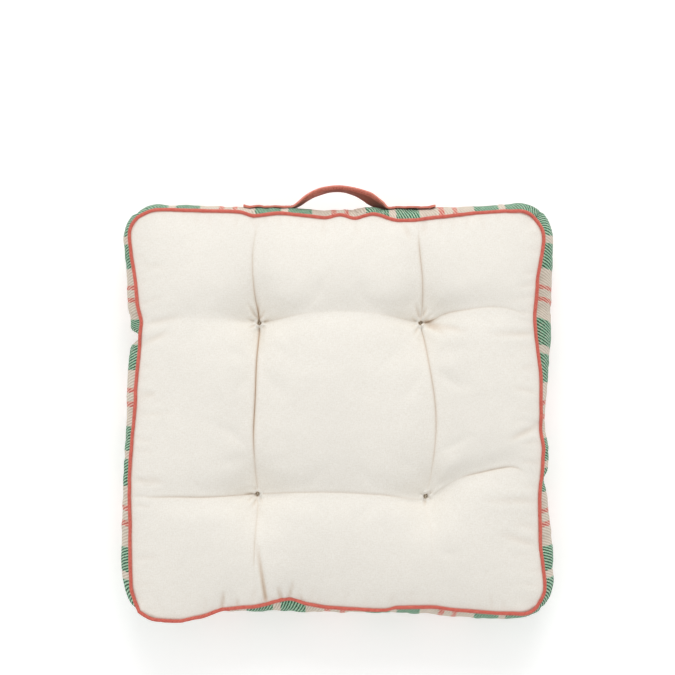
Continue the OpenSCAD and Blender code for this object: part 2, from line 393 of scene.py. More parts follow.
def flatLayout(u, v, wander, inset, turn=1):
    # a panel's points in plan, its grid bent so that the creases run along grid lines
    s = np.maximum(np.abs(u), np.abs(v))
    safe = np.where(s < 1e-9, 1, s)
    seamX, seamY = seamPath(turn * u / safe, turn * v / safe, wander, inset)
    seamX, seamY = turn * seamX, turn * seamY
    x, y = u * seamHalfX, v * seamHalfY
    fade = s ** 5
    planX = x + fade * (seamX - x / safe)
    planY = y + fade * (seamY - y / safe)
    inner = 1 - s ** 8
    for name, crease in creases.items():
        if crease["axis"] == "y":
            base = creaseLine[name] * seamHalfX
            bend = inner * bell(x - base, cover["lineReach"])
            planX = planX + bend * (alongCurve(crease["route"], y) - base)
        else:
            base = creaseLine[name] * seamHalfY
            bend = inner * bell(y - base, cover["lineReach"])
            planY = planY + bend * (alongCurve(crease["route"], x) - base)
    return planX, planY


def valleyField(x, y):
    # how strongly the creases draw the panel in, on the grid's own plan
    field = np.zeros(len(x))
    for name, crease in creases.items():
        if crease["axis"] == "y":
            base, across, along = creaseLine[name] * seamHalfX, x, y
        else:
            base, across, along = creaseLine[name] * seamHalfY, y, x
        strength = alongKnots(crease["valley"], along)
        field = np.maximum(field, strength * bell(across - base, cover["valleyWidth"]))
    return field


def hollowField(x, y):
    # the hollows that the tufts pull into a panel
    field = np.zeros(len(x))
    for tuftX, tuftY in tufts.values():
        field += bell(np.hypot(x - tuftX, y - tuftY), cover["hollowWidth"])
    return field


def layCover():
    # the cloth's start shape, and the larger shape that it is cut to; the lower seam is the upper one
    # turned round
    planX, planY = flatLayout(gridU, gridV, 1.0, cover["seamInset"])
    lowX, lowY = flatLayout(gridU, gridV, cover["lowWander"], cover["seamInset"], turn=-1)
    rise = (gridW + 1) / 2
    start = np.stack([lowX + (planX - lowX) * rise, lowY + (planY - lowY) * rise,
                      midZ + gridW * (topSeamZ - midZ)], 1)
    plainX, plainY = gridU * seamHalfX, gridV * seamHalfY
    start[:, 2] += seamDip(planX, planY) * np.maximum(np.abs(gridU), np.abs(gridV)) ** 30 * rise
    dome = (1 - np.abs(gridU) ** 5) * (1 - np.abs(gridV) ** 5)
    valley = valleyField(plainX, plainY) * dome
    hollow = hollowField(planX, planY)
    tuftDepth = topSeamZ + cover["crown"] - cover["valley"] - cover["tuftZ"]
    top = dome * cover["crown"] - valley * cover["valley"] - hollow * tuftDepth
    lowHollow = hollowField(lowX, lowY)
    low = dome * cover["lowCrown"] - valley * 0.5 * cover["valley"] - lowHollow * (
        cover["lowTuftZ"] - lowSeamZ + cover["lowCrown"] - 0.5 * cover["valley"])
    start[onTop, 2] += top[onTop]
    start[onBottom, 2] -= low[onBottom]
    bulge = cover["bandBulge"] * (1 - gridW ** 2)
    start[onSide, 0] += (outX * bulge)[onSide]
    start[onSide, 1] += (outY * bulge)[onSide]
    cutX, cutY = flatLayout(gridU, gridV, 0.0, 0.0)
    ease = cover["ease"] + cover["bandEase"] * (1 - gridW ** 2)
    cut = np.stack([cutX * ease, cutY * ease, midZ + gridW * cover["bandHeight"] / 2], 1)
    return start, cut


outX, outY = outward(np.where(onSide, gridU, 1), np.where(onSide, gridV, 1))
startShape, cutShape = layCover()


def pinnedTufts():
    # the grid point that the twine holds at each tuft, above and below
    found = []
    for side in (onTop, onBottom):
        ids = np.where(side)[0]
        for uName, vName in (("left", "back"), ("right", "back"), ("left", "front"), ("right", "front")):
            off = np.abs(gridU[ids] - creaseLine[uName]) + np.abs(gridV[ids] - creaseLine[vName])
            found.append(int(ids[np.argmin(off)]))
    return found


def inflate(obj):
    obj.shape_key_add(name="start")
    cutKey = obj.shape_key_add(name="cut")
    cutKey.data.foreach_set("co", cutShape.ravel())
    cutKey.value = 0
    pins = obj.vertex_groups.new(name="sewn")
    pins.add([int(i) for i in np.where(seamRow)[0]] + pinnedTufts(), 1.0, "REPLACE")
    cloth = obj.modifiers.new("cloth", "CLOTH")
    for setting, value in clothing.items():
        setattr(cloth.settings, setting, value)
    cloth.settings.vertex_group_mass = "sewn"
    cloth.settings.rest_shape_key = cutKey
    cloth.settings.effector_weights.gravity = 0
    cloth.point_cache.frame_start = 1
    cloth.point_cache.frame_end = cover["frames"]
    scene = bpy.context.scene
    scene.frame_start, scene.frame_end = 1, cover["frames"]
    for step in range(1, cover["frames"] + 1):
        scene.frame_set(step)
    evaluated = obj.evaluated_get(bpy.context.evaluated_depsgraph_get())
    blown = getCo(evaluated.data)
    obj.shape_key_clear()
    obj.modifiers.remove(cloth)
    obj.vertex_groups.clear()
    scene.frame_set(1)
    return blown


def trimBand(shape):
    # lets each stretch of the band stand out as far as it should, as the fibre is packed unevenly behind it
    plainX, plainY = roundedOutline(gridU * seamHalfX, gridV * seamHalfY,
                                    seamHalfX, seamHalfY, cover["corner"])
    stand = (shape[:, 0] - plainX) * outX + (shape[:, 1] - plainY) * outY
    middle = np.abs(gridW) < 1.01 / round(cover["bandHeight"] / cover["cell"])
    runs = {"left": (gridU < 0) & edgeU, "right": (gridU > 0) & edgeU,
            "front": (gridV < 0) & edgeV, "back": (gridV > 0) & edgeV}
    for name, run in runs.items():
        along = plainY if name in ("left", "right") else plainX
        row = np.where(run & middle)[0]
        row = row[np.argsort(along[row], kind="stable")]
        order = np.arange(len(row))
        kernel = bell(order[:, None] - order[None, :], cover["smoothing"])
        found = kernel @ stand[row] / kernel.sum(1)
        extra = alongKnots(bandStand[name], along[row], .8) - found
        ids = np.where(run & onSide)[0]
        share = 1 - np.abs(gridW[ids]) ** 2.5
        push = np.interp(along[ids], along[row], extra) * share * np.where((edgeU & edgeV)[ids], .5, 1)
        shape[ids, 0] += outX[ids] * push
        shape[ids, 1] += outY[ids] * push


setCo(coverObj.data, startShape)
blownShape = inflate(coverObj)
trimBand(blownShape)
setCo(coverObj.data, blownShape)
print("cover blown up, rises to", round(float(blownShape[:, 2].max()), 4), "m")


# Cover: creases, pleats and gathers
fine = {
    "creaseDepth": 0.0046,
    "creaseWidth": 0.0018,
    "closing": 0.4,           # how far the cloth closes over a crease
    "closingWidth": 0.005,
    "lineWidth": 0.0015,      # the painted shade line at the bottom of a crease
    "wrinkleWidth": 0.0045,
    "seamWrinkleWidth": 0.0034,
    "wrinkleLimit": 0.005,    # wrinkles that meet go no deeper
    "pleatDepth": 0.0042,
    "pleatWidth": 0.0019,
    "tuckWidth": 0.0027,
    "pitDepth": 0.0024,       # the hole that the twine pulls at a tuft
    "pitWidth": 0.0031,
    "gatherTop": 0.0007,
    "gatherBand": 0.0026,
    "gatherReach": 0.014,
    "slack": 0.0008,          # bumps all round the band
    "slackBehind": 0.0022,    # and more of them under the strap
    "slackWidth": 0.06,
    "lump": 0.0014,           # soft unevenness of the fibre
    "cornerSeam": 0.0022,     # how far the corner seams draw the band in
    "footing": 0.0012,        # how softly the base flattens on the floor
    "wall": 0.0009,           # cloth thickness
}
# Pleats that run out from each tuft: (angle in degrees, length)
pleats = {
    "back_left": [(118, .034), (92, .030), (68, .022), (20, .018), (158, .020), (205, .016),
                  (318, .014)],
    "back_right": [(105, .030), (70, .026), (38, .024), (14, .030), (150, .018), (200, .014),
                   (240, .020)],
    "front_left": [(250, .022), (215, .018), (180, .020), (300, .014), (120, .012)],
    "front_right": [(262, .014), (330, .010), (35, .012), (150, .010)],
}
# Single wrinkles in the top: (from, to, depth)
wrinkles = [
    ((.281, -.020), (.234, -.042), .0042), ((.122, .121), (.152, .104), .0034),
    ((.128, .122), (.180, .109), .0026), ((.276, .108), (.205, .106), .0020),
    ((-.290, -.099), (-.246, -.098), .0030), ((.086, .266), (.101, .236), .0034),
    ((-.284, .090), (-.236, .110), .0036), ((-.284, .118), (-.215, .132), .0022),
    ((-.287, .015), (-.255, .022), .0026), ((.280, -.125), (.196, -.125), .0018),
    ((.276, -.189), (.218, -.170), .0026), ((.276, -.160), (.240, -.157), .0018),
    ((.073, -.283), (.075, -.252), .0030), ((.120, .272), (.117, .240), .0022),
    ((-.021, .270), (-.024, .242), .0020), ((.021, .268), (.026, .240), .0020),
]
# Narrow tucks that the piping pinches, most of them in front: (from, to, depth)
tucks = [
    ((-.1015, -.276), (-.1150, -.184), .0046), ((-.0795, -.272), (-.0865, -.243), .0042),
    ((-.0720, -.270), (-.0640, -.234), .0030), ((-.0480, -.273), (-.0570, -.256), .0040),
    ((-.1640, -.276), (-.1615, -.250), .0034), ((-.1420, -.275), (-.1440, -.262), .0024),
]


def seamEdges(mesh):
    # sharp along both seams, and partly along the four corner seams
    ends = np.empty(len(mesh.edges) * 2, int)
    mesh.edges.foreach_get("vertices", ends)
    first, second = ends.reshape(-1, 2).T
    sharp = np.zeros(len(mesh.edges), np.float32)
    onSeam = seamRow[first] & seamRow[second] & (gridW[first] == gridW[second])
    corner = edgeU & edgeV
    sharp[corner[first] & corner[second]] = 0.6
    sharp[onSeam] = 1.0
    layer = mesh.attributes.new("crease_edge", "FLOAT", "EDGE")
    layer.data.foreach_set("value", sharp)


def seamWrinkles():
    # short wrinkles that run in from the piping, unevenly spaced: (from, to, depth)
    draw = random.Random(12)
    found = []
    for name, half, reach in (("left", seamHalfX, .052), ("right", seamHalfX, .044),
                              ("back", seamHalfY, .026), ("front", seamHalfY, .028)):
        sign = 1 if name in ("right", "back") else -1
        at = -.245
        while at < .245:
            out = sign * (half + float(alongKnots(seamWander[name], at, .6)) - .003)
            length = draw.uniform(.3, 1.0) * reach
            inner, slant = out - sign * length, draw.uniform(-.35, .35) * length
            depth = draw.uniform(.0007, .0022)
            if name in ("left", "right"):
                found.append(((out, at), (inner, at + slant), depth))
            else:
                found.append(((at, out), (at + slant, inner), depth))
            at += draw.uniform(.009, .030)
    return found


def wrinkleDrop(x, y, start, end, depth, width):
    # how far the cloth drops along one wrinkle, between the soft ridges beside it; it fades towards its end
    startX, startY = start
    runX, runY = end[0] - startX, end[1] - startY
    t = np.clip(((x - startX) * runX + (y - startY) * runY) / (runX ** 2 + runY ** 2), 0, 1)
    away = np.hypot(x - startX - t * runX, y - startY - t * runY)
    return depth * (1 - t * t) * (bell(away, width) - 0.3 * bell(away - 2.3 * width, width))


def lumps(points, scale, seed):
    # smooth noise from -1 to 1 at each point; the scale is in waves to the metre, more or less
    offset = Vector((seed, seed * 0.37, -seed * 0.71))
    return np.array([noise.noise(Vector(point) * scale + offset) for point in points])


def layCreases(co, base, u, v, side, flat):
    # from tuft to tuft and out to the seams: how far the cloth drops, and how much painted shade its crease
    # gets
    drop, foldShade = np.zeros(len(co)), np.zeros(len(co))
    for name, crease in creases.items():
        along, across, axis = base[:, 1], (u - creaseLine[name]) * seamHalfX, 0
        if crease["axis"] == "x":
            along, across, axis = base[:, 0], (v - creaseLine[name]) * seamHalfY, 1
        strength = alongKnots(crease["line"], along) * flat * np.where(side > 0, 1, 0.5) * (side != 0)
        cleft = fine["creaseDepth"] * np.exp(-np.abs(across) / fine["creaseWidth"])
        drop = np.maximum(drop, strength * cleft)
        co[:, axis] -= across * fine["closing"] * strength * bell(across, fine["closingWidth"])
        # painted shade, narrow along the bottom of the crease
        foldShade = np.maximum(foldShade, strength * np.exp(-np.abs(across) / fine["lineWidth"]))
    return drop, foldShade


def wrinkleField(x, y, top):
    # how far the single wrinkles, those at the seams and the pleats at the tufts drop the cloth
    small = np.zeros(len(x))
    for start, end, depth in wrinkles:
        small += wrinkleDrop(x, y, start, end, depth, fine["wrinkleWidth"]) * top
    for start, end, depth in seamWrinkles():
        small += wrinkleDrop(x, y, start, end, depth, fine["seamWrinkleWidth"]) * top
    for name, spokes in pleats.items():
        tuftX, tuftY = tufts[name]
        for angle, length in spokes:
            turn = math.radians(angle)
            reach = (tuftX + length * math.cos(turn), tuftY + length * math.sin(turn))
            small += wrinkleDrop(x, y, (tuftX, tuftY), reach, fine["pleatDepth"], fine["pleatWidth"])
    return np.minimum(small, fine["wrinkleLimit"])


def gatherField(near, w, s, side, band):
    # gathers along the seams, alike on both sides of the piping: how far they push, and the painted shade in
    # their tight folds on the band
    push, dark = np.zeros(len(w)), np.zeros(len(w))
    for seam in (1, -1):
        swell = lumps(near, 48, 11.3 + 5 * seam)
        tight = bell(lumps(near, 34, 3.1 + 7 * seam), 0.10)
        away = np.where(side == seam, (1 - s) * seamHalfX, 9.0)
        away = np.where(band, (1 - seam * w) * (topSeamZ - midZ), away)
        reach = np.exp(-away / fine["gatherReach"]) * np.clip(away / .004, 0, 1)
        size = np.where(band, fine["gatherBand"], fine["gatherTop"])
        push += size * reach * (0.8 * swell - tight)
        # painted shade where the band's gathers are tight
        dark = np.maximum(dark, 0.5 * tight * reach * band)
    return push, dark


def bandBumps(base, near, w, band):
    # the band is drawn up into bumps, most of all under the strap
    behind = fine["slackBehind"] * bell(base[:, 0], fine["slackWidth"]) * (base[:, 1] > 0)
    slack = np.where(band, fine["slack"] + behind, 0)
    bumps = lumps(near, 62, 71.0) + .5 * lumps(near * (1, 1, 0) + (0, 0, 1) * base, 90, 77.0)
    return slack * (1.6 * bumps - bell(bumps, .12)) * (1 - w ** 4)


def shapeCover(obj):
    while obj.data.uv_layers:
        obj.data.uv_layers.remove(obj.data.uv_layers[0])
    for name, values in (("gridU", gridU), ("gridV", gridV), ("gridW", gridW)):
        setValue(obj.data, name, values)
    seamEdges(obj.data)
    subdivision = obj.modifiers.new("finer", "SUBSURF")
    subdivision.levels = subdivision.render_levels = 1
    applyModifier(obj, "finer")
    mesh = obj.data
    co, normals = getCo(mesh), getNormals(mesh)
    u, v, w = (getValue(mesh, name) for name in ("gridU", "gridV", "gridW"))
    top, low = w > 1 - 1e-4, w < -1 + 1e-4
    band = ~(top | low)
    side = np.where(top, 1.0, np.where(low, -1.0, 0.0))
    s = np.maximum(np.abs(u), np.abs(v))
    flat = 1 - s ** 12                        # keeps the seams themselves where they are

    # everything that sinks into a panel
    base = co.copy()
    drop, foldShade = layCreases(co, base, u, v, side, flat)
    small = wrinkleField(base[:, 0], base[:, 1], top) * flat * np.abs(side)
    tuck, pit = np.zeros(len(co)), np.zeros(len(co))
    for start, end, depth in tucks:
        tuck += wrinkleDrop(base[:, 0], base[:, 1], start, end, depth, fine["tuckWidth"])
    tuck *= top * (1 - s ** 60)
    for x, y in tufts.values():
        pit += bell(np.hypot(base[:, 0] - x, base[:, 1] - y), fine["pitWidth"]) * np.abs(side)
    # the wrinkles, pleats and tucks add painted shade to the crease mask
    foldShade = np.clip(foldShade + small / .010 + tuck / .006, 0, 1)
    co[:, 2] -= side * (drop + small + tuck + pit * fine["pitDepth"] * (1 - drop / fine["creaseDepth"]))

    # everything that pushes out or in along the cloth's normals
    safe = np.where(s < 1e-9, 1, s)
    nearX, nearY = seamPath(u / safe, v / safe, 0.0)
    near = np.stack([nearX, nearY, np.zeros(len(co))], 1)
    push, dark = gatherField(near, w, s, side, band)
    push += bandBumps(base, near, w, band)
    unevenFibre = lumps(base, 15, 1.7) + 0.35 * lumps(base, 38, 8.2)
    push += fine["lump"] * unevenFibre * np.where(band, 1 - w ** 6, flat)
    cornerAway = np.hypot(1 - np.abs(u), 1 - np.abs(v)) * seamHalfX
    push -= fine["cornerSeam"] * bell(cornerAway, .004) * band * (1 - w ** 8)
    co += normals * push[:, None]

    # rests flat on the floor
    soft = fine["footing"]
    co[:, 2] = np.where(co[:, 2] < .02, soft * np.log1p(np.exp(co[:, 2] / soft)), co[:, 2])
    setCo(mesh, co)
    # Painted shade masks for the cloth's colour: in the creases and gathers, in the tuft holes, and along
    # both seams, fading within a few millimetres
    seamAway = np.where(band, (1 - np.abs(w)) * (topSeamZ - midZ), (1 - s) * seamHalfX)
    setValue(mesh, "foldShade", np.maximum(foldShade, dark))
    setValue(mesh, "pit", np.clip(pit, 0, 1))
    setValue(mesh, "seam", np.exp(-seamAway / .0025))
    return co


fineShape = shapeCover(coverObj)
print("cover shaped,", len(coverObj.data.polygons), "faces")


# Stuffing, just inside the cover
stuffed = {"gap": 0.0028, "lowest": 0.0022}     # how far it stays inside the cover, and off the floor


def makeStuffing():
    obj = makeGrid()
    obj.name = "stuffing"
    coverShape = fineShape[:len(gridU)]          # the grid's own points come first
    setCo(obj.data, coverShape)
    inside = coverShape - getNormals(obj.data) * stuffed["gap"]
    inside[:, 2] = np.maximum(inside[:, 2], stuffed["lowest"])
    setCo(obj.data, inside)
    return obj


stuffing = makeStuffing()


# Panels cut apart, each with its own cloth layout
def cutOut(obj, wanted, name):
    pick(obj)
    bpy.ops.object.mode_set(mode="EDIT")
    bpy.ops.mesh.select_mode(type="FACE")
    bpy.ops.mesh.select_all(action="DESELECT")
    bpy.ops.object.mode_set(mode="OBJECT")
    obj.data.polygons.foreach_set("select", wanted)
    bpy.ops.object.mode_set(mode="EDIT")
    bpy.ops.mesh.separate(type="SELECTED")
    bpy.ops.object.mode_set(mode="OBJECT")
    piece = [other for other in bpy.context.selected_objects if other != obj][0]
    piece.name = name
    piece.data.name = name
    return piece


def faceMean(mesh, name):
    return getValue(mesh, name)[getCorners(mesh)].reshape(-1, 4).mean(1)


# How far the gathers push each band's cloth along, and how far its upper edge leans:
# (along the side, metres)
pushed = {
    "left": [(-.278, 0), (-.192, -.001), (-.148, -.005), (-.105, -.011), (-.055, -.016), (.018, -.0175),
             (.057, -.0205), (.092, -.022), (.105, -.0245), (.127, -.0133), (.163, -.009),
             (.278, -.009)],
    "right": [(-.278, -.002), (-.113, -.0025), (-.070, -.0015), (-.013, .001), (.040, -.003),
              (.084, -.006), (.126, -.0075), (.151, -.005), (.194, -.0055), (.235, -.0095),
              (.278, -.0095)],
    "back": [(-.288, .004), (-.150, .004), (-.080, 0), (.050, 0), (.090, .003), (.130, .003), (.200, 0),
             (.288, 0)],
    "front": [(-.288, .014), (-.130, .014), (-.094, .011), (-.049, .009), (-.021, .0095), (0, .007),
              (.034, .0016), (.068, 0), (.136, .0038), (.156, .005), (.189, 0), (.288, 0)],
}
leaning = {
    "left": [(-.278, 0), (.278, 0)],
    "right": [(-.278, 0), (.030, 0), (.100, .008), (.140, .011), (.180, .006), (.250, .002), (.278, 0)],
    "back": [(-.288, 0), (.000, .002), (.100, .003), (.288, 0)],
    "front": [(-.288, 0), (.120, .002), (.150, .005), (.190, 0), (.288, 0)],
}


def bandCloth(side, along, w):
    return along + alongKnots(pushed[side], along, 0) - alongKnots(leaning[side], along) * np.clip(w, 0, 1)


def cutPanels(obj):
    panels = {}
    # each piece lies at one end of one of the grid's directions; what is left is the front band
    ends = [("top_cloth", "gridW", 1), ("base_cloth", "gridW", -1), ("band_right", "gridU", 1),
            ("band_left", "gridU", -1), ("band_back", "gridV", 1)]
    for name, value, end in ends:
        panels[name] = cutOut(obj, faceMean(obj.data, value) * end > 1 - 1e-3, name)
    obj.name = obj.data.name = "band_front"
    panels["band_front"] = obj
    for name, piece in panels.items():
        mesh = piece.data
        u, v, w = (getValue(mesh, value) for value in ("gridU", "gridV", "gridW"))
        if name in ("top_cloth", "base_cloth"):
            across, up = u * seamHalfX, v * seamHalfY
        else:
            side = name.removeprefix("band_")
            along = v * seamHalfY if side in ("left", "right") else u * seamHalfX
            across, up = bandCloth(side, along, w), w * cover["bandHeight"] / 2
        setLayout(mesh, np.stack([across, up], 1)[getCorners(mesh)])
        for value in ("gridU", "gridV", "gridW"):
            mesh.attributes.remove(mesh.attributes[value])
        wall = piece.modifiers.new("wall", "SOLIDIFY")
        wall.thickness = fine["wall"]
        wall.offset = -1
        applyModifier(piece, "wall")
        bpy.ops.object.shade_smooth()
        print(name, "cut,", len(piece.data.polygons), "faces")
    return panels


panels = cutPanels(coverObj)


# Piping
piping = {
    "slim": .93,                # how tightly the cloth is drawn round the cord
    "sides": 12,
    "step": 0.003,
    "sway": 0.0009,             # how far it wanders sideways
    "heave": 0.0012,            # and up and down
    "ruffle": 0.0003,
    "coreStep": 0.006,
    "coreSides": 8,
}


def evenly(points, step, closed=True):
    # points at an even step along a line or a ring
    ring = np.vstack([points, points[:1]]) if closed else points
    length = lengthAlong(ring)
    count = max(4, round(length[-1] / step))
    at = np.linspace(0, length[-1], count, endpoint=not closed)
    return np.stack([np.interp(at, length, ring[:, axis]) for axis in range(3)], 1)


def seamLoop(turn, wander, z):
    t = np.linspace(0, 8, 2400, endpoint=False)
    walk = np.array([(-1, -1), (0, -1), (1, -1), (1, 0), (1, 1), (0, 1), (-1, 1), (-1, 0), (-1, -1)], float)
    u = np.interp(t, np.arange(9), walk[:, 0])
    v = np.interp(t, np.arange(9), walk[:, 1])
    x, y = seamPath(turn * u, turn * v, wander)
    dip = seamDip(x, y) if turn > 0 else 0
    return np.stack([turn * x, turn * y, z + dip + 0 * x], 1)


def makeTube(name, path, radius, sides, closed=True):
    curve = bpy.data.curves.new(name, "CURVE")
    curve.dimensions = "3D"
    curve.twist_mode = "Z_UP" if closed else "MINIMUM"
    curve.bevel_depth = radius
    curve.bevel_resolution = sides // 2 - 2
    curve.use_fill_caps = True
    spline = curve.splines.new("POLY")
    spline.points.add(len(path) - 1)
    spline.points.foreach_set("co", np.c_[path, np.ones(len(path))].ravel())
    spline.use_cyclic_u = closed
    obj = bpy.data.objects.new(name, curve)
    bpy.context.scene.collection.objects.link(obj)
    pick(obj)
    bpy.ops.object.convert(target="MESH")
    obj = bpy.context.object
    layTube(obj.data, path, radius, sides, closed)
    bpy.ops.object.shade_smooth()
    return obj


def layTube(mesh, path, radius, sides, closed):
    # the layout runs along the tube and round it
    corners = getCorners(mesh)
    ring, turn = corners // sides, corners % sides
    length = lengthAlong(path)
    closing = np.linalg.norm(path[0] - path[-1])
    length = np.append(length, length[-1] + closing)
    quads = 4 * (len(path) - (0 if closed else 1)) * sides
    # the faces that close a ring run on to its full length, not back to its start
    for index, last in ((ring, len(path)), (turn, sides)):
        body = index[:quads].reshape(-1, 4)
        wraps = body.max(1) - body.min(1) > 1
        body[wraps[:, None] & (body == 0)] = last
    along = length[np.minimum(ring, len(length) - 1)]
    setLayout(mesh, np.stack([along, turn / sides * 2 * math.pi * radius], 1))


def makePiping(name, turn, wander, z):
    path = evenly(seamLoop(turn, wander, z), piping["step"])
    sway = np.stack([lumps(path, 42, 21.0 + turn), lumps(path, 42, 35.0 + turn)], 1)
    path[:, :2] += sway * piping["sway"]
    path[:, 2] += lumps(path, 30, 51.0 + turn) * piping["heave"]
    tubeObj = makeTube(name, path, pipingRadius * piping["slim"], piping["sides"])
    co = getCo(tubeObj.data)
    ruffle = lumps(co, 210, 4.0) + 0.6 * lumps(co, 420, 9.0)
    setCo(tubeObj.data, co + getNormals(tubeObj.data) * (ruffle * piping["ruffle"])[:, None])
    core = makeTube(name + "_core", evenly(path, piping["coreStep"]), cordRadius * piping["slim"],
                    piping["coreSides"])
    return tubeObj, core


topPiping, topCore = makePiping("top_piping", 1, 1.0, topSeamZ)
basePiping, baseCore = makePiping("base_piping", -1, cover["lowWander"], lowSeamZ)
print("piping made")


# Tuft twine
twine = {
    "radius": 0.0010,
    "sides": 8,
    "hole": 0.0026,             # from the tuft's middle to where the twine goes in
    "step": 0.0012,
    "turns": (25, 98),          # which way the two crossed stitches lie, in degrees
    "lifted": 0.0018,           # the stitches above the bottom of the tuft
    "knot": 0.0026,
    "knotDrop": 0.0042,         # the knot's middle below the base cloth
    "tail": 0.013,
}


def surfaceHeight(tree, x, y, down):
    origin = Vector((x, y, 0.3 if down else -0.3))
    hit = tree.ray_cast(origin, Vector((0, 0, -1 if down else 1)))[0]
    return hit.z


def softLine(points, times=3):
    # rounds a route's corners off
    line = np.array(points, float)
    for _ in range(times):
        cut = np.stack([line[:-1] * .75 + line[1:] * .25, line[:-1] * .25 + line[1:] * .75], 1)
        line = np.vstack([line[:1], cut.reshape(-1, line.shape[1]), line[-1:]])
    return line


def makeTwine(name, topTree, baseTree):
    x, y = tufts[name]
    high = surfaceHeight(topTree, x, y, True) + twine["lifted"]
    low = surfaceHeight(baseTree, x, y, False)
    rise, hole = twine["radius"], twine["hole"]
    parts = []
    for turn, lift in zip(twine["turns"], (0.0, 1.6 * rise)):
        angle = math.radians(turn)
        dx, dy = math.cos(angle) * hole, math.sin(angle) * hole
        route = [(x - dx, y - dy, low - rise), (x - dx, y - dy, high - .004),
                 (x - dx, y - dy, high + rise * .6),
                 (x - dx * .5, y - dy * .5, high + rise * 1.5 + lift),
                 (x + dx * .5, y + dy * .5, high + rise * 1.5 + lift), (x + dx, y + dy, high + rise * .6),
                 (x + dx, y + dy, high - .004), (x + dx, y + dy, low - rise), (x, y, low - rise * 2 - lift)]
        parts.append(makeTube("twine_part", evenly(softLine(route), twine["step"], False), rise,
                              twine["sides"], False))
    # the knot and its two tails, under the base
    t = np.linspace(0, 2 * math.pi, 60, endpoint=False)
    knot = np.stack([x + twine["knot"] * (np.sin(t) + 2 * np.sin(2 * t)) / 2.4,
                     y + twine["knot"] * (np.cos(t) - 2 * np.cos(2 * t)) / 2.4,
                     low - twine["knotDrop"] - rise * 1.3 * np.sin(3 * t)], 1)
    parts.append(makeTube("twine_part", knot, rise, twine["sides"]))
    for way in (-1, 1):
        tail = [(x, y, low - .004), (x + way * .004, y + .002 * way, low - .006),
                (x + way * .009, y + .001, low - .0045),
                (x + way * twine["tail"], y - .002 * way, low - .006)]
        parts.append(makeTube("twine_part", evenly(softLine(tail), twine["step"], False), rise,
                              twine["sides"], False))
    return joinAll(parts, "twine_" + name)


def treeOf(obj):
    return BVHTree.FromObject(obj, bpy.context.evaluated_depsgraph_get())


topTree, baseTree = treeOf(panels["top_cloth"]), treeOf(panels["base_cloth"])
backTree = treeOf(panels["band_back"])
twines = {name: makeTwine(name, topTree, baseTree) for name in tufts}
print("twine tied at", len(twines), "tufts")


# Strap handle
endLow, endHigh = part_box("handle_end_left")
strap = {
    "width": endHigh.z - endLow.z,
    "thick": 0.0026,
    "end": -endLow.x,            # how far each flat end reaches along the band
    "along": 190,
    "across": 12,
    "topStitch": 0.0036,         # stitch line, in from each edge
    "seamInset": 0.004,          # and in from each end
    "boxOuter": 0.008,           # box of stitches, in from the strap's end
    "boxInner": 0.006,           # and from where the free arch starts
    "stitchPitch": 0.0042,
    "stitchLength": 0.0031,
    "stitchRadius": 0.00042,
    "heldFrom": 0.062,           # from here outwards the strap is drawn to the band
    "heldOver": 0.011,
    "gap": 0.0003,               # between the strap and the band
    "press": 0.0004,             # how far the band gives way under it
    "underFold": 0.010,          # length of the cloth turned under at each end
    "foldStep": 0.0008,          # and how much thicker it makes the end
    "uneven": 0.0007,
    "bend": 0.016,
}
# The arch's upper edge from above, how far the strap leans outwards there, and how far that edge curls over,
# in degrees: (x, y, lean, curl)
arch = [(-.0740, .2880, 0, 0), (-.0680, .2887, 0, 0), (-.0610, .2925, 4, 15), (-.0457, .3071, 6, 38),
        (-.0277, .3148, 6, 42), (-.0105, .3179, 4, 42), (.0078, .3176, 5, 40), (.0263, .3140, 12, 38),
        (.0440, .3090, 26, 32), (.0490, .3062, 28, 28), (.0586, .2974, 24, 12), (.0680, .2894, 8, 0),
        (.0740, .2877, 0, 0)]


def strapLine():
    # the upper edge from end to end; the flat ends follow the band
    knots = np.array(arch, float)
    left = [(x, *knots[0, 1:]) for x in np.linspace(-strap["end"], knots[0, 0], 12, endpoint=False)]
    right = [(x, *knots[-1, 1:]) for x in np.linspace(knots[-1, 0], strap["end"], 13)[1:]]
    return np.vstack([left, softLine(knots, 3), right])


def strapSection(lean, curl, across):
    # how far out and up from its middle a point of the strap's section lies, and its slope there
    out, up = np.zeros(len(across)), np.zeros(len(across))
    slope = lean
    for part in (np.arange(16) + .5) / 16:
        bend = np.clip((across * part - .1) / .9, 0, 1)
        slope = lean + curl * bend
        out += np.sin(slope) * across / 16
        up += np.cos(slope) * across / 16
    return out * strap["width"] / 2, up * strap["width"] / 2, slope


def bandSurface(x, z):
    hit = backTree.ray_cast(Vector((x, .5, z)), Vector((0, -1, 0)))[0]
    return hit.y if hit else swingY


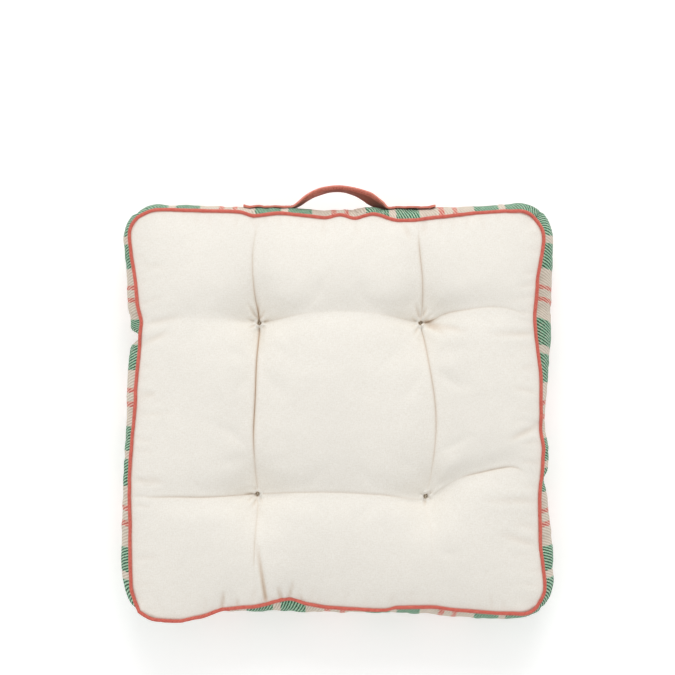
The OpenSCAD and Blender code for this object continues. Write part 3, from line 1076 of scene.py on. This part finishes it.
def strapPoints(along, across, lift=0.0):
    # places and outward normals on the strap; along runs 0 to 1, across -1 to 1
    line = strapLine()
    length = lengthAlong(line[:, :2])
    at = along * length[-1]
    x, y, lean, curl = (np.interp(at, length, line[:, column]) for column in range(4))
    ahead = .002
    runX = np.interp(at + ahead, length, line[:, 0]) - np.interp(at - ahead, length, line[:, 0])
    runY = np.interp(at + ahead, length, line[:, 1]) - np.interp(at - ahead, length, line[:, 1])
    run = np.hypot(runX, runY)
    faceX, faceY = -runY / run, runX / run
    lean, curl = np.radians(lean), np.radians(curl)
    out, up, slope = strapSection(lean, curl, across)
    edge = strapSection(lean, curl, np.ones(len(across)))[0] + strap["thick"] / 2
    places = np.stack([x + faceX * (out - edge), y + faceY * (out - edge), midZ + up], 1)
    normal = np.stack([faceX * np.cos(slope), faceY * np.cos(slope), -np.sin(slope)], 1)
    held = np.clip((np.abs(x) - strap["heldFrom"]) / strap["heldOver"], 0, 1)
    held = held * held * (3 - 2 * held)
    for i in np.where(held > 0)[0]:
        face = bandSurface(places[i, 0], places[i, 2])
        face = max(face, bandSurface(places[i, 0], midZ) - strap["press"])
        face += strap["thick"] / 2 + strap["gap"]
        places[i, 1] += held[i] * (face - places[i, 1])
    return places + normal * np.reshape(lift, (-1, 1)), normal


def strapReach(x):
    # how far along the strap, from its left end, it passes x
    line = strapLine()
    return float(np.interp(x, line[:, 0], lengthAlong(line[:, :2])))


strapLength = float(lengthAlong(strapLine()[:, :2])[-1])


def markShadedSide(mesh):
    # painted shade on the face towards the cushion, which faces away from the key light
    setValue(mesh, "inner", np.clip((-getNormals(mesh)[:, 1] - .15) * 4, 0, 1))


def foldEnds(mesh):
    # each end is turned under before it is sewn, so it is thicker
    co = getCo(mesh)
    turnedUnder = np.clip((np.abs(co[:, 0]) - strap["end"] + strap["underFold"]) / .0015, 0, 1)
    outside = getNormals(mesh)[:, 1] > .3
    co[:, 1] += turnedUnder * outside * strap["foldStep"]
    setCo(mesh, co)


def makeStrap():
    deselectAll()
    bpy.ops.mesh.primitive_grid_add(x_subdivisions=strap["along"], y_subdivisions=strap["across"], size=2)
    obj = bpy.context.object
    obj.name = obj.data.name = "strap"
    mesh = obj.data
    flatCo = getCo(mesh)
    along, across = (flatCo[:, 0] + 1) / 2, flatCo[:, 1]
    places, normal = strapPoints(along, across)
    waves = lumps(places, 55, 2.2) * strap["uneven"]
    setCo(mesh, places + normal * waves[:, None])
    setLayout(mesh, np.stack([along * strapLength, across * strap["width"] / 2], 1)[getCorners(mesh)])
    bpy.ops.object.mode_set(mode="EDIT")
    bpy.ops.mesh.select_all(action="SELECT")
    bpy.ops.mesh.normals_make_consistent(inside=False)
    bpy.ops.object.mode_set(mode="OBJECT")
    if mesh.polygons[len(mesh.polygons) // 2].normal.y < 0:
        mesh.flip_normals()
    wall = obj.modifiers.new("wall", "SOLIDIFY")
    wall.thickness = strap["thick"]
    wall.offset = 0
    applyModifier(obj, "wall")
    rounding = obj.modifiers.new("rounding", "BEVEL")
    rounding.width = strap["thick"] * .33
    rounding.segments = 2
    rounding.limit_method = "ANGLE"
    rounding.angle_limit = math.radians(60)
    applyModifier(obj, "rounding")
    markShadedSide(obj.data)
    foldEnds(obj.data)
    bpy.ops.object.shade_smooth()
    return obj


strapObj = makeStrap()


# Stitches
def makeStitch():
    deselectAll()
    bpy.ops.mesh.primitive_uv_sphere_add(segments=6, ring_count=5, radius=1)
    obj = bpy.context.object
    for polygon in obj.data.polygons:
        polygon.use_smooth = True
    co = getCo(obj.data)
    size = (strap["stitchLength"] / 2, strap["stitchRadius"], strap["stitchRadius"])
    setCo(obj.data, co[:, [2, 0, 1]] * size)     # laid along X
    return obj


def sew(name, seams):
    # one stitch, copied along each seam: pairs of (places, normals)
    stitch = makeStitch()
    copies = []
    for places, normals in seams:
        for i in range(len(places) - 1):
            start, end = Vector(places[i]), Vector(places[i + 1])
            run = (end - start).normalized()
            up = Vector(normals[i])
            side = up.cross(run).normalized()
            turn = Matrix((run, side, run.cross(side))).transposed().to_4x4()
            copy = stitch.copy()
            copy.data = stitch.data.copy()
            copy.data.transform(Matrix.Translation((start + end) / 2) @ turn)
            bpy.context.scene.collection.objects.link(copy)
            copies.append(copy)
    bpy.data.objects.remove(stitch)
    return joinAll(copies, name)


def strapSeam(startAlong, endAlong, startAcross, endAcross, lift):
    # stitch places along a straight line on the strap, from (along, across) to (along, across), in metres
    run = math.hypot(endAlong - startAlong, endAcross - startAcross)
    count = max(2, round(run / strap["stitchPitch"]) + 1)
    along = np.linspace(startAlong, endAlong, count) / strapLength
    across = np.linspace(startAcross, endAcross, count) / (strap["width"] / 2)
    return strapPoints(along, across, np.full(count, lift))


def sewStrap():
    edge = strap["width"] / 2 - strap["topStitch"]
    proud = strap["thick"] / 2 + strap["stitchRadius"] * .2
    first, last = strap["seamInset"], strapLength - strap["seamInset"]
    lines = []
    for across in (-edge, edge):
        for lift in (-proud, proud):
            lines.append(strapSeam(first, last, across, across, lift))
    return sew("strap_stitching", lines)


def sewEnd(name, start, end):
    # a box with a cross in it, through the strap's flat end
    edge = strap["width"] / 2 - 2 * strap["topStitch"]
    proud = strap["thick"] / 2 + strap["stitchRadius"] * .3
    box = [(start, -edge, end, -edge), (end, -edge, end, edge), (end, edge, start, edge),
           (start, edge, start, -edge), (start, -edge, end, edge), (start, edge, end, -edge)]
    return sew(name, [strapSeam(a, c, b, d, proud) for a, b, c, d in box])


endRun = strap["end"] - abs(arch[1][0])          # the length of one sewn end
boxStart, boxEnd = strap["boxOuter"], endRun - strap["boxInner"]
strapStitching = sewStrap()
endStitchLeft = sewEnd("end_stitching_left", boxStart, boxEnd)
endStitchRight = sewEnd("end_stitching_right", strapLength - boxEnd, strapLength - boxStart)
print("strap and stitches made")


# Bodies
def place(piece, slot, *nodes):
    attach(piece, "cushion")
    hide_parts(*nodes)


place(panels["top_cloth"], "canvas", "top_panel")
place(panels["base_cloth"], "canvas", "bottom_panel")
for side in ("front", "back", "left", "right"):
    place(panels["band_" + side], "striped_twill", "gusset_" + side)
place(topPiping, "piping_cloth", "top_piping_cover")
place(topCore, "piping_cord", "top_piping_cord")
place(basePiping, "piping_cloth", "bottom_piping_cover")
place(baseCore, "piping_cord", "bottom_piping_cord")
place(stuffing, "fibre_filling", "filling")
for name, piece in twines.items():
    place(piece, "twine", "tuft_twine_" + name)
place(endStitchLeft, "sewing_thread", "handle_stitching_left")
place(endStitchRight, "sewing_thread", "handle_stitching_right")

for piece, slot in ((strapObj, "strap_cloth"), (strapStitching, "sewing_thread")):
    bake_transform(piece)
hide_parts("handle_grip", "handle_end_left", "handle_end_right")

print("pieces placed on their bodies")


# Shader helpers
def tone(red, green, blue):
    # screen colour, 0 to 255, as the linear colour that a socket takes
    parts = [value / 255 for value in (red, green, blue)]
    return tuple(p / 12.92 if p <= .04045 else ((p + .055) / 1.055) ** 2.4 for p in parts) + (1,)


def addNode(tree, kind, **settings):
    node = tree.nodes.new(kind)
    for name, value in settings.items():
        setattr(node, name, value)
    return node


def feed(tree, socket, value):
    if isinstance(value, bpy.types.NodeSocket):
        tree.links.new(value, socket)
    else:
        socket.default_value = value


def calc(tree, operation, *values, clamp=False):
    node = addNode(tree, "ShaderNodeMath", operation=operation, use_clamp=clamp)
    for socket, value in zip(node.inputs, values):
        feed(tree, socket, value)
    return node.outputs[0]


def blendColor(tree, share, first, second, way="MIX"):
    node = addNode(tree, "ShaderNodeMix", data_type="RGBA", blend_type=way)
    for name, value in (("Factor", share), ("A", first), ("B", second)):
        socket = [s for s in node.inputs if s.name == name and s.enabled][0]
        feed(tree, socket, value)
    return [s for s in node.outputs if s.enabled][0]


def grain(tree, vector, scale, detail=2.0, stretch=(1, 1, 1), rough=.5):
    mapping = addNode(tree, "ShaderNodeMapping")
    mapping.inputs["Scale"].default_value = stretch
    tree.links.new(vector, mapping.inputs["Vector"])
    texture = addNode(tree, "ShaderNodeTexNoise")
    texture.inputs["Scale"].default_value = scale
    texture.inputs["Detail"].default_value = detail
    texture.inputs["Roughness"].default_value = rough
    tree.links.new(mapping.outputs[0], texture.inputs["Vector"])
    return texture.outputs[0]


def stretchTo(tree, value, low, high, newLow=0.0, newHigh=1.0):
    node = addNode(tree, "ShaderNodeMapRange")
    for socket, number in zip(node.inputs, (value, low, high, newLow, newHigh)):
        feed(tree, socket, number)
    return node.outputs[0]


def newGroup(name, inputs, outputs):
    group = bpy.data.node_groups.new(name, "ShaderNodeTree")
    for label, kind, value in inputs:
        socket = group.interface.new_socket(name=label, in_out="INPUT", socket_type=kind)
        if value is not None:
            socket.default_value = value
    for label, kind in outputs:
        group.interface.new_socket(name=label, in_out="OUTPUT", socket_type=kind)
    return group, addNode(group, "NodeGroupInput"), addNode(group, "NodeGroupOutput")


def useGroup(tree, group, **values):
    node = addNode(tree, "ShaderNodeGroup", node_tree=group)
    for name, value in values.items():
        feed(tree, node.inputs[name], value)
    return node


def splitVector(tree, vector):
    node = addNode(tree, "ShaderNodeSeparateXYZ")
    tree.links.new(vector, node.inputs[0])
    return node.outputs[0], node.outputs[1]


# Shared effects
def makePlainWeave():
    # threads over and under each other; the vector is the cloth's layout in metres
    group, start, end = newGroup("plain weave",
                                 [("Vector", "NodeSocketVector", None), ("Pitch", "NodeSocketFloat", .001)],
                                 [("Height", "NodeSocketFloat"), ("Gap", "NodeSocketFloat"),
                                  ("Slub", "NodeSocketFloat")])
    x, y = splitVector(group, start.outputs["Vector"])
    pitch = start.outputs["Pitch"]
    waveX = calc(group, "SINE", calc(group, "MULTIPLY", calc(group, "DIVIDE", x, pitch), math.pi))
    waveY = calc(group, "SINE", calc(group, "MULTIPLY", calc(group, "DIVIDE", y, pitch), math.pi))
    roundX, roundY = calc(group, "ABSOLUTE", waveX), calc(group, "ABSOLUTE", waveY)
    warpOver = calc(group, "GREATER_THAN", calc(group, "MULTIPLY", waveX, waveY), 0)
    warp = calc(group, "MULTIPLY", roundX, calc(group, "MULTIPLY_ADD", roundY, .4, .6))
    weft = calc(group, "MULTIPLY", roundY, calc(group, "MULTIPLY_ADD", roundX, .4, .6))
    height = calc(group, "ADD", calc(group, "MULTIPLY", warp, warpOver),
                  calc(group, "MULTIPLY", weft, calc(group, "SUBTRACT", 1, warpOver)))
    # thick and thin threads
    upright = grain(group, start.outputs["Vector"], 1.0, 2, (700, 150, 1), .6)
    level = grain(group, start.outputs["Vector"], 1.0, 2, (140, 700, 1), .6)
    slub = calc(group, "MULTIPLY", calc(group, "ADD", upright, level), .5)
    group.links.new(calc(group, "MULTIPLY_ADD", slub, .8, height), end.inputs["Height"])
    group.links.new(stretchTo(group, height, .45, 0), end.inputs["Gap"])
    group.links.new(stretchTo(group, slub, .38, .62), end.inputs["Slub"])
    return group


def makeTwill():
    # slanting ribs, each broken up by the threads that cross it
    group, start, end = newGroup("twill",
                                 [("Vector", "NodeSocketVector", None),
                                  ("Pitch", "NodeSocketFloat", .0018)],
                                 [("Height", "NodeSocketFloat"), ("Rib", "NodeSocketFloat"),
                                  ("Slub", "NodeSocketFloat")])
    x, y = splitVector(group, start.outputs["Vector"])
    pitch = start.outputs["Pitch"]
    slub = grain(group, start.outputs["Vector"], 1.0, 2, (420, 420, 1), .6)
    slant = calc(group, "DIVIDE", calc(group, "MULTIPLY_ADD", y, -.22, x), pitch)
    slant = calc(group, "MULTIPLY_ADD", slub, .7, slant)
    rib = calc(group, "SINE", calc(group, "MULTIPLY", slant, 2 * math.pi))
    cross = calc(group, "SINE", calc(group, "MULTIPLY", calc(group, "DIVIDE", y, pitch), 4 * math.pi))
    height = calc(group, "MULTIPLY_ADD", cross, .25, calc(group, "MULTIPLY_ADD", rib, .5, .5))
    group.links.new(height, end.inputs["Height"])
    broken = calc(group, "MULTIPLY_ADD", cross, .3, rib)
    group.links.new(stretchTo(group, broken, -.45, .45), end.inputs["Rib"])
    group.links.new(stretchTo(group, slub, .35, .65), end.inputs["Slub"])
    return group


def makeYarn():
    # strands twisted round each other; the vector is (along, round) in metres
    group, start, end = newGroup("twisted yarn",
                                 [("Vector", "NodeSocketVector", None), ("Pitch", "NodeSocketFloat", .002),
                                  ("Girth", "NodeSocketFloat", .005), ("Strands", "NodeSocketFloat", 3)],
                                 [("Height", "NodeSocketFloat"), ("Fibre", "NodeSocketFloat")])
    x, y = splitVector(group, start.outputs["Vector"])
    strands = calc(group, "MULTIPLY", y, start.outputs["Strands"])
    turns = calc(group, "DIVIDE", strands, start.outputs["Girth"])
    twist = calc(group, "ADD", calc(group, "DIVIDE", x, start.outputs["Pitch"]), turns)
    strand = calc(group, "ABSOLUTE", calc(group, "SINE", calc(group, "MULTIPLY", twist, math.pi)))
    fibre = grain(group, start.outputs["Vector"], 1.0, 3, (900, 3000, 1), .6)
    group.links.new(calc(group, "MULTIPLY_ADD", fibre, .3, strand), end.inputs["Height"])
    group.links.new(fibre, end.inputs["Fibre"])
    return group


def makeUneven():
    # soft patches where the dye or the handling differs
    group, start, end = newGroup("uneven tone",
                                 [("Vector", "NodeSocketVector", None), ("Amount", "NodeSocketFloat", .05)],
                                 [("Tone", "NodeSocketFloat")])
    broad = grain(group, start.outputs["Vector"], 9, 3)
    close = grain(group, start.outputs["Vector"], 60, 2)
    mixed = calc(group, "MULTIPLY_ADD", close, .4, calc(group, "MULTIPLY", broad, .6))
    centred = calc(group, "SUBTRACT", mixed, .5)
    group.links.new(calc(group, "MULTIPLY_ADD", centred, start.outputs["Amount"], 1), end.inputs["Tone"])
    return group


plainWeave, twill, yarn, uneven = makePlainWeave(), makeTwill(), makeYarn(), makeUneven()


# Materials
def newMaterial(name, roughness, sheen=0.0, specular=0.25):
    material = bpy.data.materials.new(name)
    material.use_nodes = True
    tree = material.node_tree
    shader = tree.nodes["Principled BSDF"]
    shader.inputs["Roughness"].default_value = roughness
    shader.inputs["Specular IOR Level"].default_value = specular
    shader.inputs["Sheen Weight"].default_value = sheen
    shader.inputs["Sheen Roughness"].default_value = .5
    return material, tree, shader


def clothUV(tree):
    return addNode(tree, "ShaderNodeUVMap", uv_map="cloth").outputs[0]


def places3d(tree):
    return addNode(tree, "ShaderNodeTexCoord").outputs["Object"]


def attribute(tree, name):
    return addNode(tree, "ShaderNodeAttribute", attribute_name=name).outputs["Fac"]


def finishCloth(tree, shader, color, height, strength, depth):
    feed(tree, shader.inputs["Base Color"], color)
    bump = addNode(tree, "ShaderNodeBump")
    bump.inputs["Strength"].default_value = strength
    bump.inputs["Distance"].default_value = depth
    tree.links.new(height, bump.inputs["Height"])
    tree.links.new(bump.outputs[0], shader.inputs["Normal"])


def shadeWhere(tree, color, name, amount, shadeTone):
    # painted shade: another, darker colour where the piece's own values, such as its folds, are high
    return blendColor(tree, calc(tree, "MULTIPLY", attribute(tree, name), amount), color, shadeTone)


def toned(tree, color, vector, amount):
    patches = useGroup(tree, uneven, Vector=vector, Amount=amount)
    return blendColor(tree, 1.0, color, patches.outputs["Tone"], "MULTIPLY")


# The brown is painted shade for the creases and along the seams, and the dark brown is painted shade in the
# tuft holes
canvasLook = {"pitch": .0011, "cream": tone(251, 248, 241), "shade": tone(230, 223, 211),
              "foldShade": tone(194, 156, 114), "pit": tone(134, 92, 50), "bump": .55}


def makeCanvas():
    material, tree, shader = newMaterial("cream canvas", .9, .12)
    uv, at = clothUV(tree), places3d(tree)
    weave = useGroup(tree, plainWeave, Vector=uv, Pitch=canvasLook["pitch"])
    threads = calc(tree, "ADD", grain(tree, uv, 1.0, 3, (980, 380, 1), .65),
                   grain(tree, uv, 1.0, 3, (380, 980, 1), .65))
    fleck = stretchTo(tree, threads, .78, 1.22)
    mottled = calc(tree, "MULTIPLY_ADD", fleck, .42, calc(tree, "MULTIPLY", weave.outputs["Slub"], .3))
    color = blendColor(tree, mottled, canvasLook["cream"], canvasLook["shade"])
    color = blendColor(tree, calc(tree, "MULTIPLY", weave.outputs["Gap"], .30),
                       color, canvasLook["shade"])
    color = toned(tree, color, at, .10)
    # painted shade in the creases, wrinkles, tucks and gathers
    color = shadeWhere(tree, color, "foldShade", .8, canvasLook["foldShade"])
    # painted shade, lighter, along the seams beside the piping
    color = shadeWhere(tree, color, "seam", .25, canvasLook["foldShade"])
    # painted shade in the holes that the twine pulls at the tufts
    pit = stretchTo(tree, attribute(tree, "pit"), .35, .95)
    color = blendColor(tree, pit, color, canvasLook["pit"])
    finishCloth(tree, shader, color, weave.outputs["Height"], canvasLook["bump"], .0003)
    return material


# The band's stripes run up and down. One repeat, in metres: (width, colour)
stripeLook = {
    "stripes": [(.034, "green"), (.010, "beige"), (.034, "green"), (.027, "beige"), (.007, "coral"),
                (.012, "beige"), (.0065, "coral"), (.0235, "beige")],
    "centre": .1178,            # this far into a repeat is the middle of each side
    "rib": .0040,
    "corner": .250,             # green from here to the corner seam
    "beige": tone(222, 211, 196), "beigeDark": tone(184, 168, 150),
    "green": tone(142, 200, 166), "greenDark": tone(8, 66, 36),
    "coral": tone(226, 172, 154), "coralDark": tone(186, 74, 64),
    # painted shade for the band's gathers and along its seams
    "foldShade": tone(120, 96, 72),
}


def stripeMasks(tree, along):
    # how much of the green and of the coral stripes lies at a place along the band
    repeat = sum(width for width, _ in stripeLook["stripes"])
    ramp = addNode(tree, "ShaderNodeValToRGB")
    ramp.color_ramp.interpolation = "CONSTANT"
    masks = {"green": (1, 0, 0, 1), "coral": (0, 1, 0, 1), "beige": (0, 0, 0, 1)}
    stops = ramp.color_ramp.elements
    reached = 0
    for index, (width, color) in enumerate(stripeLook["stripes"]):
        stop = stops[0] if index == 0 else stops.new(reached / repeat)
        stop.color = masks[color]
        reached += width
    stops.remove(stops[len(stops) - 1])          # the ramp's own second stop
    share = calc(tree, "DIVIDE", calc(tree, "ADD", along, stripeLook["centre"]), repeat)
    tree.links.new(calc(tree, "FRACT", share), ramp.inputs["Fac"])
    parts = addNode(tree, "ShaderNodeSeparateColor")
    tree.links.new(ramp.outputs[0], parts.inputs[0])
    return parts.outputs[0], parts.outputs[1]


def makeStripedTwill():
    material, tree, shader = newMaterial("striped band twill", .9, .1)
    uv, at = clothUV(tree), places3d(tree)
    ribs = useGroup(tree, twill, Vector=uv, Pitch=stripeLook["rib"])
    rib, slub = ribs.outputs["Rib"], ribs.outputs["Slub"]
    along = splitVector(tree, uv)[0]
    ragged = calc(tree, "MULTIPLY_ADD", calc(tree, "SUBTRACT", rib, .5), .0009, along)
    green, coral = stripeMasks(tree, ragged)
    corner = calc(tree, "GREATER_THAN", calc(tree, "ABSOLUTE", along), stripeLook["corner"])
    green = calc(tree, "MAXIMUM", green, corner)
    color = blendColor(tree, calc(tree, "MULTIPLY", rib, .8), stripeLook["beige"], stripeLook["beigeDark"])
    specks = stretchTo(tree, calc(tree, "MULTIPLY", slub, calc(tree, "SUBTRACT", 1, rib)), .50, .80)
    leaf = blendColor(tree, rib, stripeLook["green"], stripeLook["greenDark"])
    leaf = blendColor(tree, calc(tree, "MULTIPLY", specks, .8), leaf, stripeLook["beige"])
    rose = blendColor(tree, rib, stripeLook["coral"], stripeLook["coralDark"])
    rose = blendColor(tree, calc(tree, "MULTIPLY", specks, .6), rose, stripeLook["beige"])
    color = blendColor(tree, green, color, leaf)
    color = blendColor(tree, coral, color, rose)
    color = toned(tree, color, at, .16)
    # painted shade in the band's tight gathers
    color = shadeWhere(tree, color, "foldShade", .45, stripeLook["foldShade"])
    # painted shade along the band's seams beside the piping
    color = shadeWhere(tree, color, "seam", .35, stripeLook["foldShade"])
    finishCloth(tree, shader, color, ribs.outputs["Height"], .5, .0004)
    return material


coralLook = {"pitch": .0009, "piping": tone(226, 122, 106), "pipingDark": tone(202, 92, 80),
             "strap": tone(236, 154, 136), "strapDark": tone(212, 118, 102),
             # painted shade for the strap's face towards the cushion
             "strapShade": tone(150, 82, 66)}


def turned(tree, vector, degrees):
    mapping = addNode(tree, "ShaderNodeMapping")
    mapping.inputs["Rotation"].default_value = (0, 0, math.radians(degrees))
    tree.links.new(vector, mapping.inputs["Vector"])
    return mapping.outputs[0]


def makePipingCloth():
    # the same cotton, cut on the slant, so its weave runs slantwise round the cord
    material, tree, shader = newMaterial("coral piping cloth", .85, .15)
    uv, at = clothUV(tree), places3d(tree)
    weave = useGroup(tree, plainWeave, Vector=turned(tree, uv, 45), Pitch=coralLook["pitch"])
    color = blendColor(tree, weave.outputs["Slub"], coralLook["piping"], coralLook["pipingDark"])
    color = blendColor(tree, calc(tree, "MULTIPLY", weave.outputs["Gap"], .4),
                       color, coralLook["pipingDark"])
    color = toned(tree, color, at, .25)
    ruck = grain(tree, turned(tree, uv, 30), 1.0, 2, (260, 120, 1))
    height = calc(tree, "MULTIPLY_ADD", ruck, 3.0, weave.outputs["Height"])
    finishCloth(tree, shader, color, height, .6, .0004)
    return material


def makeStrapCloth():
    material, tree, shader = newMaterial("coral strap cloth", .85, .15)
    uv, at = clothUV(tree), places3d(tree)
    weave = useGroup(tree, plainWeave, Vector=uv, Pitch=coralLook["pitch"])
    color = blendColor(tree, weave.outputs["Slub"], coralLook["strap"], coralLook["strapDark"])
    color = blendColor(tree, calc(tree, "MULTIPLY", weave.outputs["Gap"], .4),
                       color, coralLook["strapDark"])
    # Painted shade on the face towards the cushion, which faces away from the key light. It is left off near
    # the upper edge, which is turned outwards, and mostly off the left leg, which is turned outwards too
    along, up = splitVector(tree, uv)
    half = strap["width"] / 2
    leg = calc(tree, "ABSOLUTE", calc(tree, "SUBTRACT", along, strapReach(-.040)))
    plainFace = calc(tree, "MULTIPLY", stretchTo(tree, up, .70 * half, .40 * half),
                     stretchTo(tree, leg, .006, .022, .25, 1))
    inner = calc(tree, "MULTIPLY", attribute(tree, "inner"), plainFace)
    color = blendColor(tree, calc(tree, "MULTIPLY", inner, .9), color, coralLook["strapShade"])
    color = toned(tree, color, at, .22)
    height = calc(tree, "MULTIPLY_ADD", grain(tree, at, 160, 2), 2.0, weave.outputs["Height"])
    finishCloth(tree, shader, color, height, .55, .0004)
    return material


def makeTwisted(name, light, dark, pitch, girth, strands, roughness):
    material, tree, shader = newMaterial(name, roughness)
    strandsNode = useGroup(tree, yarn, Vector=clothUV(tree), Pitch=pitch, Girth=girth, Strands=strands)
    height = strandsNode.outputs["Height"]
    color = blendColor(tree, stretchTo(tree, height, .2, 1.1), dark, light)
    color = toned(tree, color, places3d(tree), .3)
    finishCloth(tree, shader, color, height, .8, .0003)
    return material


def makeThread():
    material, tree, shader = newMaterial("coral sewing thread", .6, 0, .4)
    at = places3d(tree)
    twist = grain(tree, at, 1400, 2)
    color = blendColor(tree, twist, tone(206, 100, 86), tone(168, 66, 56))
    finishCloth(tree, shader, toned(tree, color, at, .2), twist, .4, .0001)
    return material


def makeFibre():
    material, tree, shader = newMaterial("fibre filling", .95, .3)
    at = places3d(tree)
    strands = grain(tree, at, 240, 5, (1, 1, 1), .7)
    tufted = grain(tree, at, 45, 3)
    color = blendColor(tree, strands, tone(250, 250, 247), tone(214, 213, 206))
    finishCloth(tree, shader, toned(tree, color, at, .1),
                calc(tree, "MULTIPLY_ADD", tufted, 2.0, strands), .8, .001)
    return material


def coat(obj, material):
    obj.data.materials.clear()
    obj.data.materials.append(material)


canvas, stripedTwill = makeCanvas(), makeStripedTwill()
pipingCloth, strapCloth = makePipingCloth(), makeStrapCloth()
cordCotton = makeTwisted("cotton piping cord", tone(236, 230, 214), tone(190, 180, 156),
                         .0045, .0130, 3, .9)
waxedTwine = makeTwisted("waxed twine", tone(240, 232, 216), tone(176, 156, 124),
                         .0022, .0057, 3, .55)
thread, fibre = makeThread(), makeFibre()
for name, piece in panels.items():
    coat(piece, stripedTwill if name.startswith("band") else canvas)
for piece in (topPiping, basePiping):
    coat(piece, pipingCloth)
for piece in (topCore, baseCore):
    coat(piece, cordCotton)
for piece in twines.values():
    coat(piece, waxedTwine)
for piece in (strapStitching, endStitchLeft, endStitchRight):
    coat(piece, thread)
coat(strapObj, strapCloth)
coat(stuffing, fibre)
print("materials made")


# Floor and studio light
studio = {"sky": .76, "keyPower": 62, "keySize": 2.4, "keyPlace": (.2, 3.3, 2.6), "floorGlow": .22,
          "fillPower": 3, "fillSize": 2.0, "fillPlace": (-1.6, -.6, 1.6)}


def makeFloor():
    deselectAll()
    bpy.ops.mesh.primitive_plane_add(size=10, location=(0, 0, -.0006))
    floor = bpy.context.object
    floor.name = "studio_floor"
    material, tree, shader = newMaterial("white floor", .9)
    feed(tree, shader.inputs["Base Color"], tone(252, 252, 252))
    shader.inputs["Emission Color"].default_value = (1, 1, 1, 1)
    shader.inputs["Emission Strength"].default_value = studio["floorGlow"]
    coat(floor, material)


def makeLight(name, power, size, place):
    light = bpy.data.lights.new(name, "AREA")
    light.energy = power
    light.size = size
    obj = bpy.data.objects.new(name, light)
    bpy.context.scene.collection.objects.link(obj)
    obj.location = place
    obj.rotation_euler = (Vector((0, 0, .06)) - Vector(place)).to_track_quat("-Z", "Y").to_euler()


makeFloor()
makeLight("key", studio["keyPower"], studio["keySize"], studio["keyPlace"])
makeLight("fill", studio["fillPower"], studio["fillSize"], studio["fillPlace"])
world = bpy.data.worlds.new("studio")
world.use_nodes = True
world.node_tree.nodes["Background"].inputs["Color"].default_value = (1, 1, .995, 1)
world.node_tree.nodes["Background"].inputs["Strength"].default_value = studio["sky"]
bpy.context.scene.world = world
bpy.context.scene.view_settings.view_transform = "Standard"
print("studio lit")
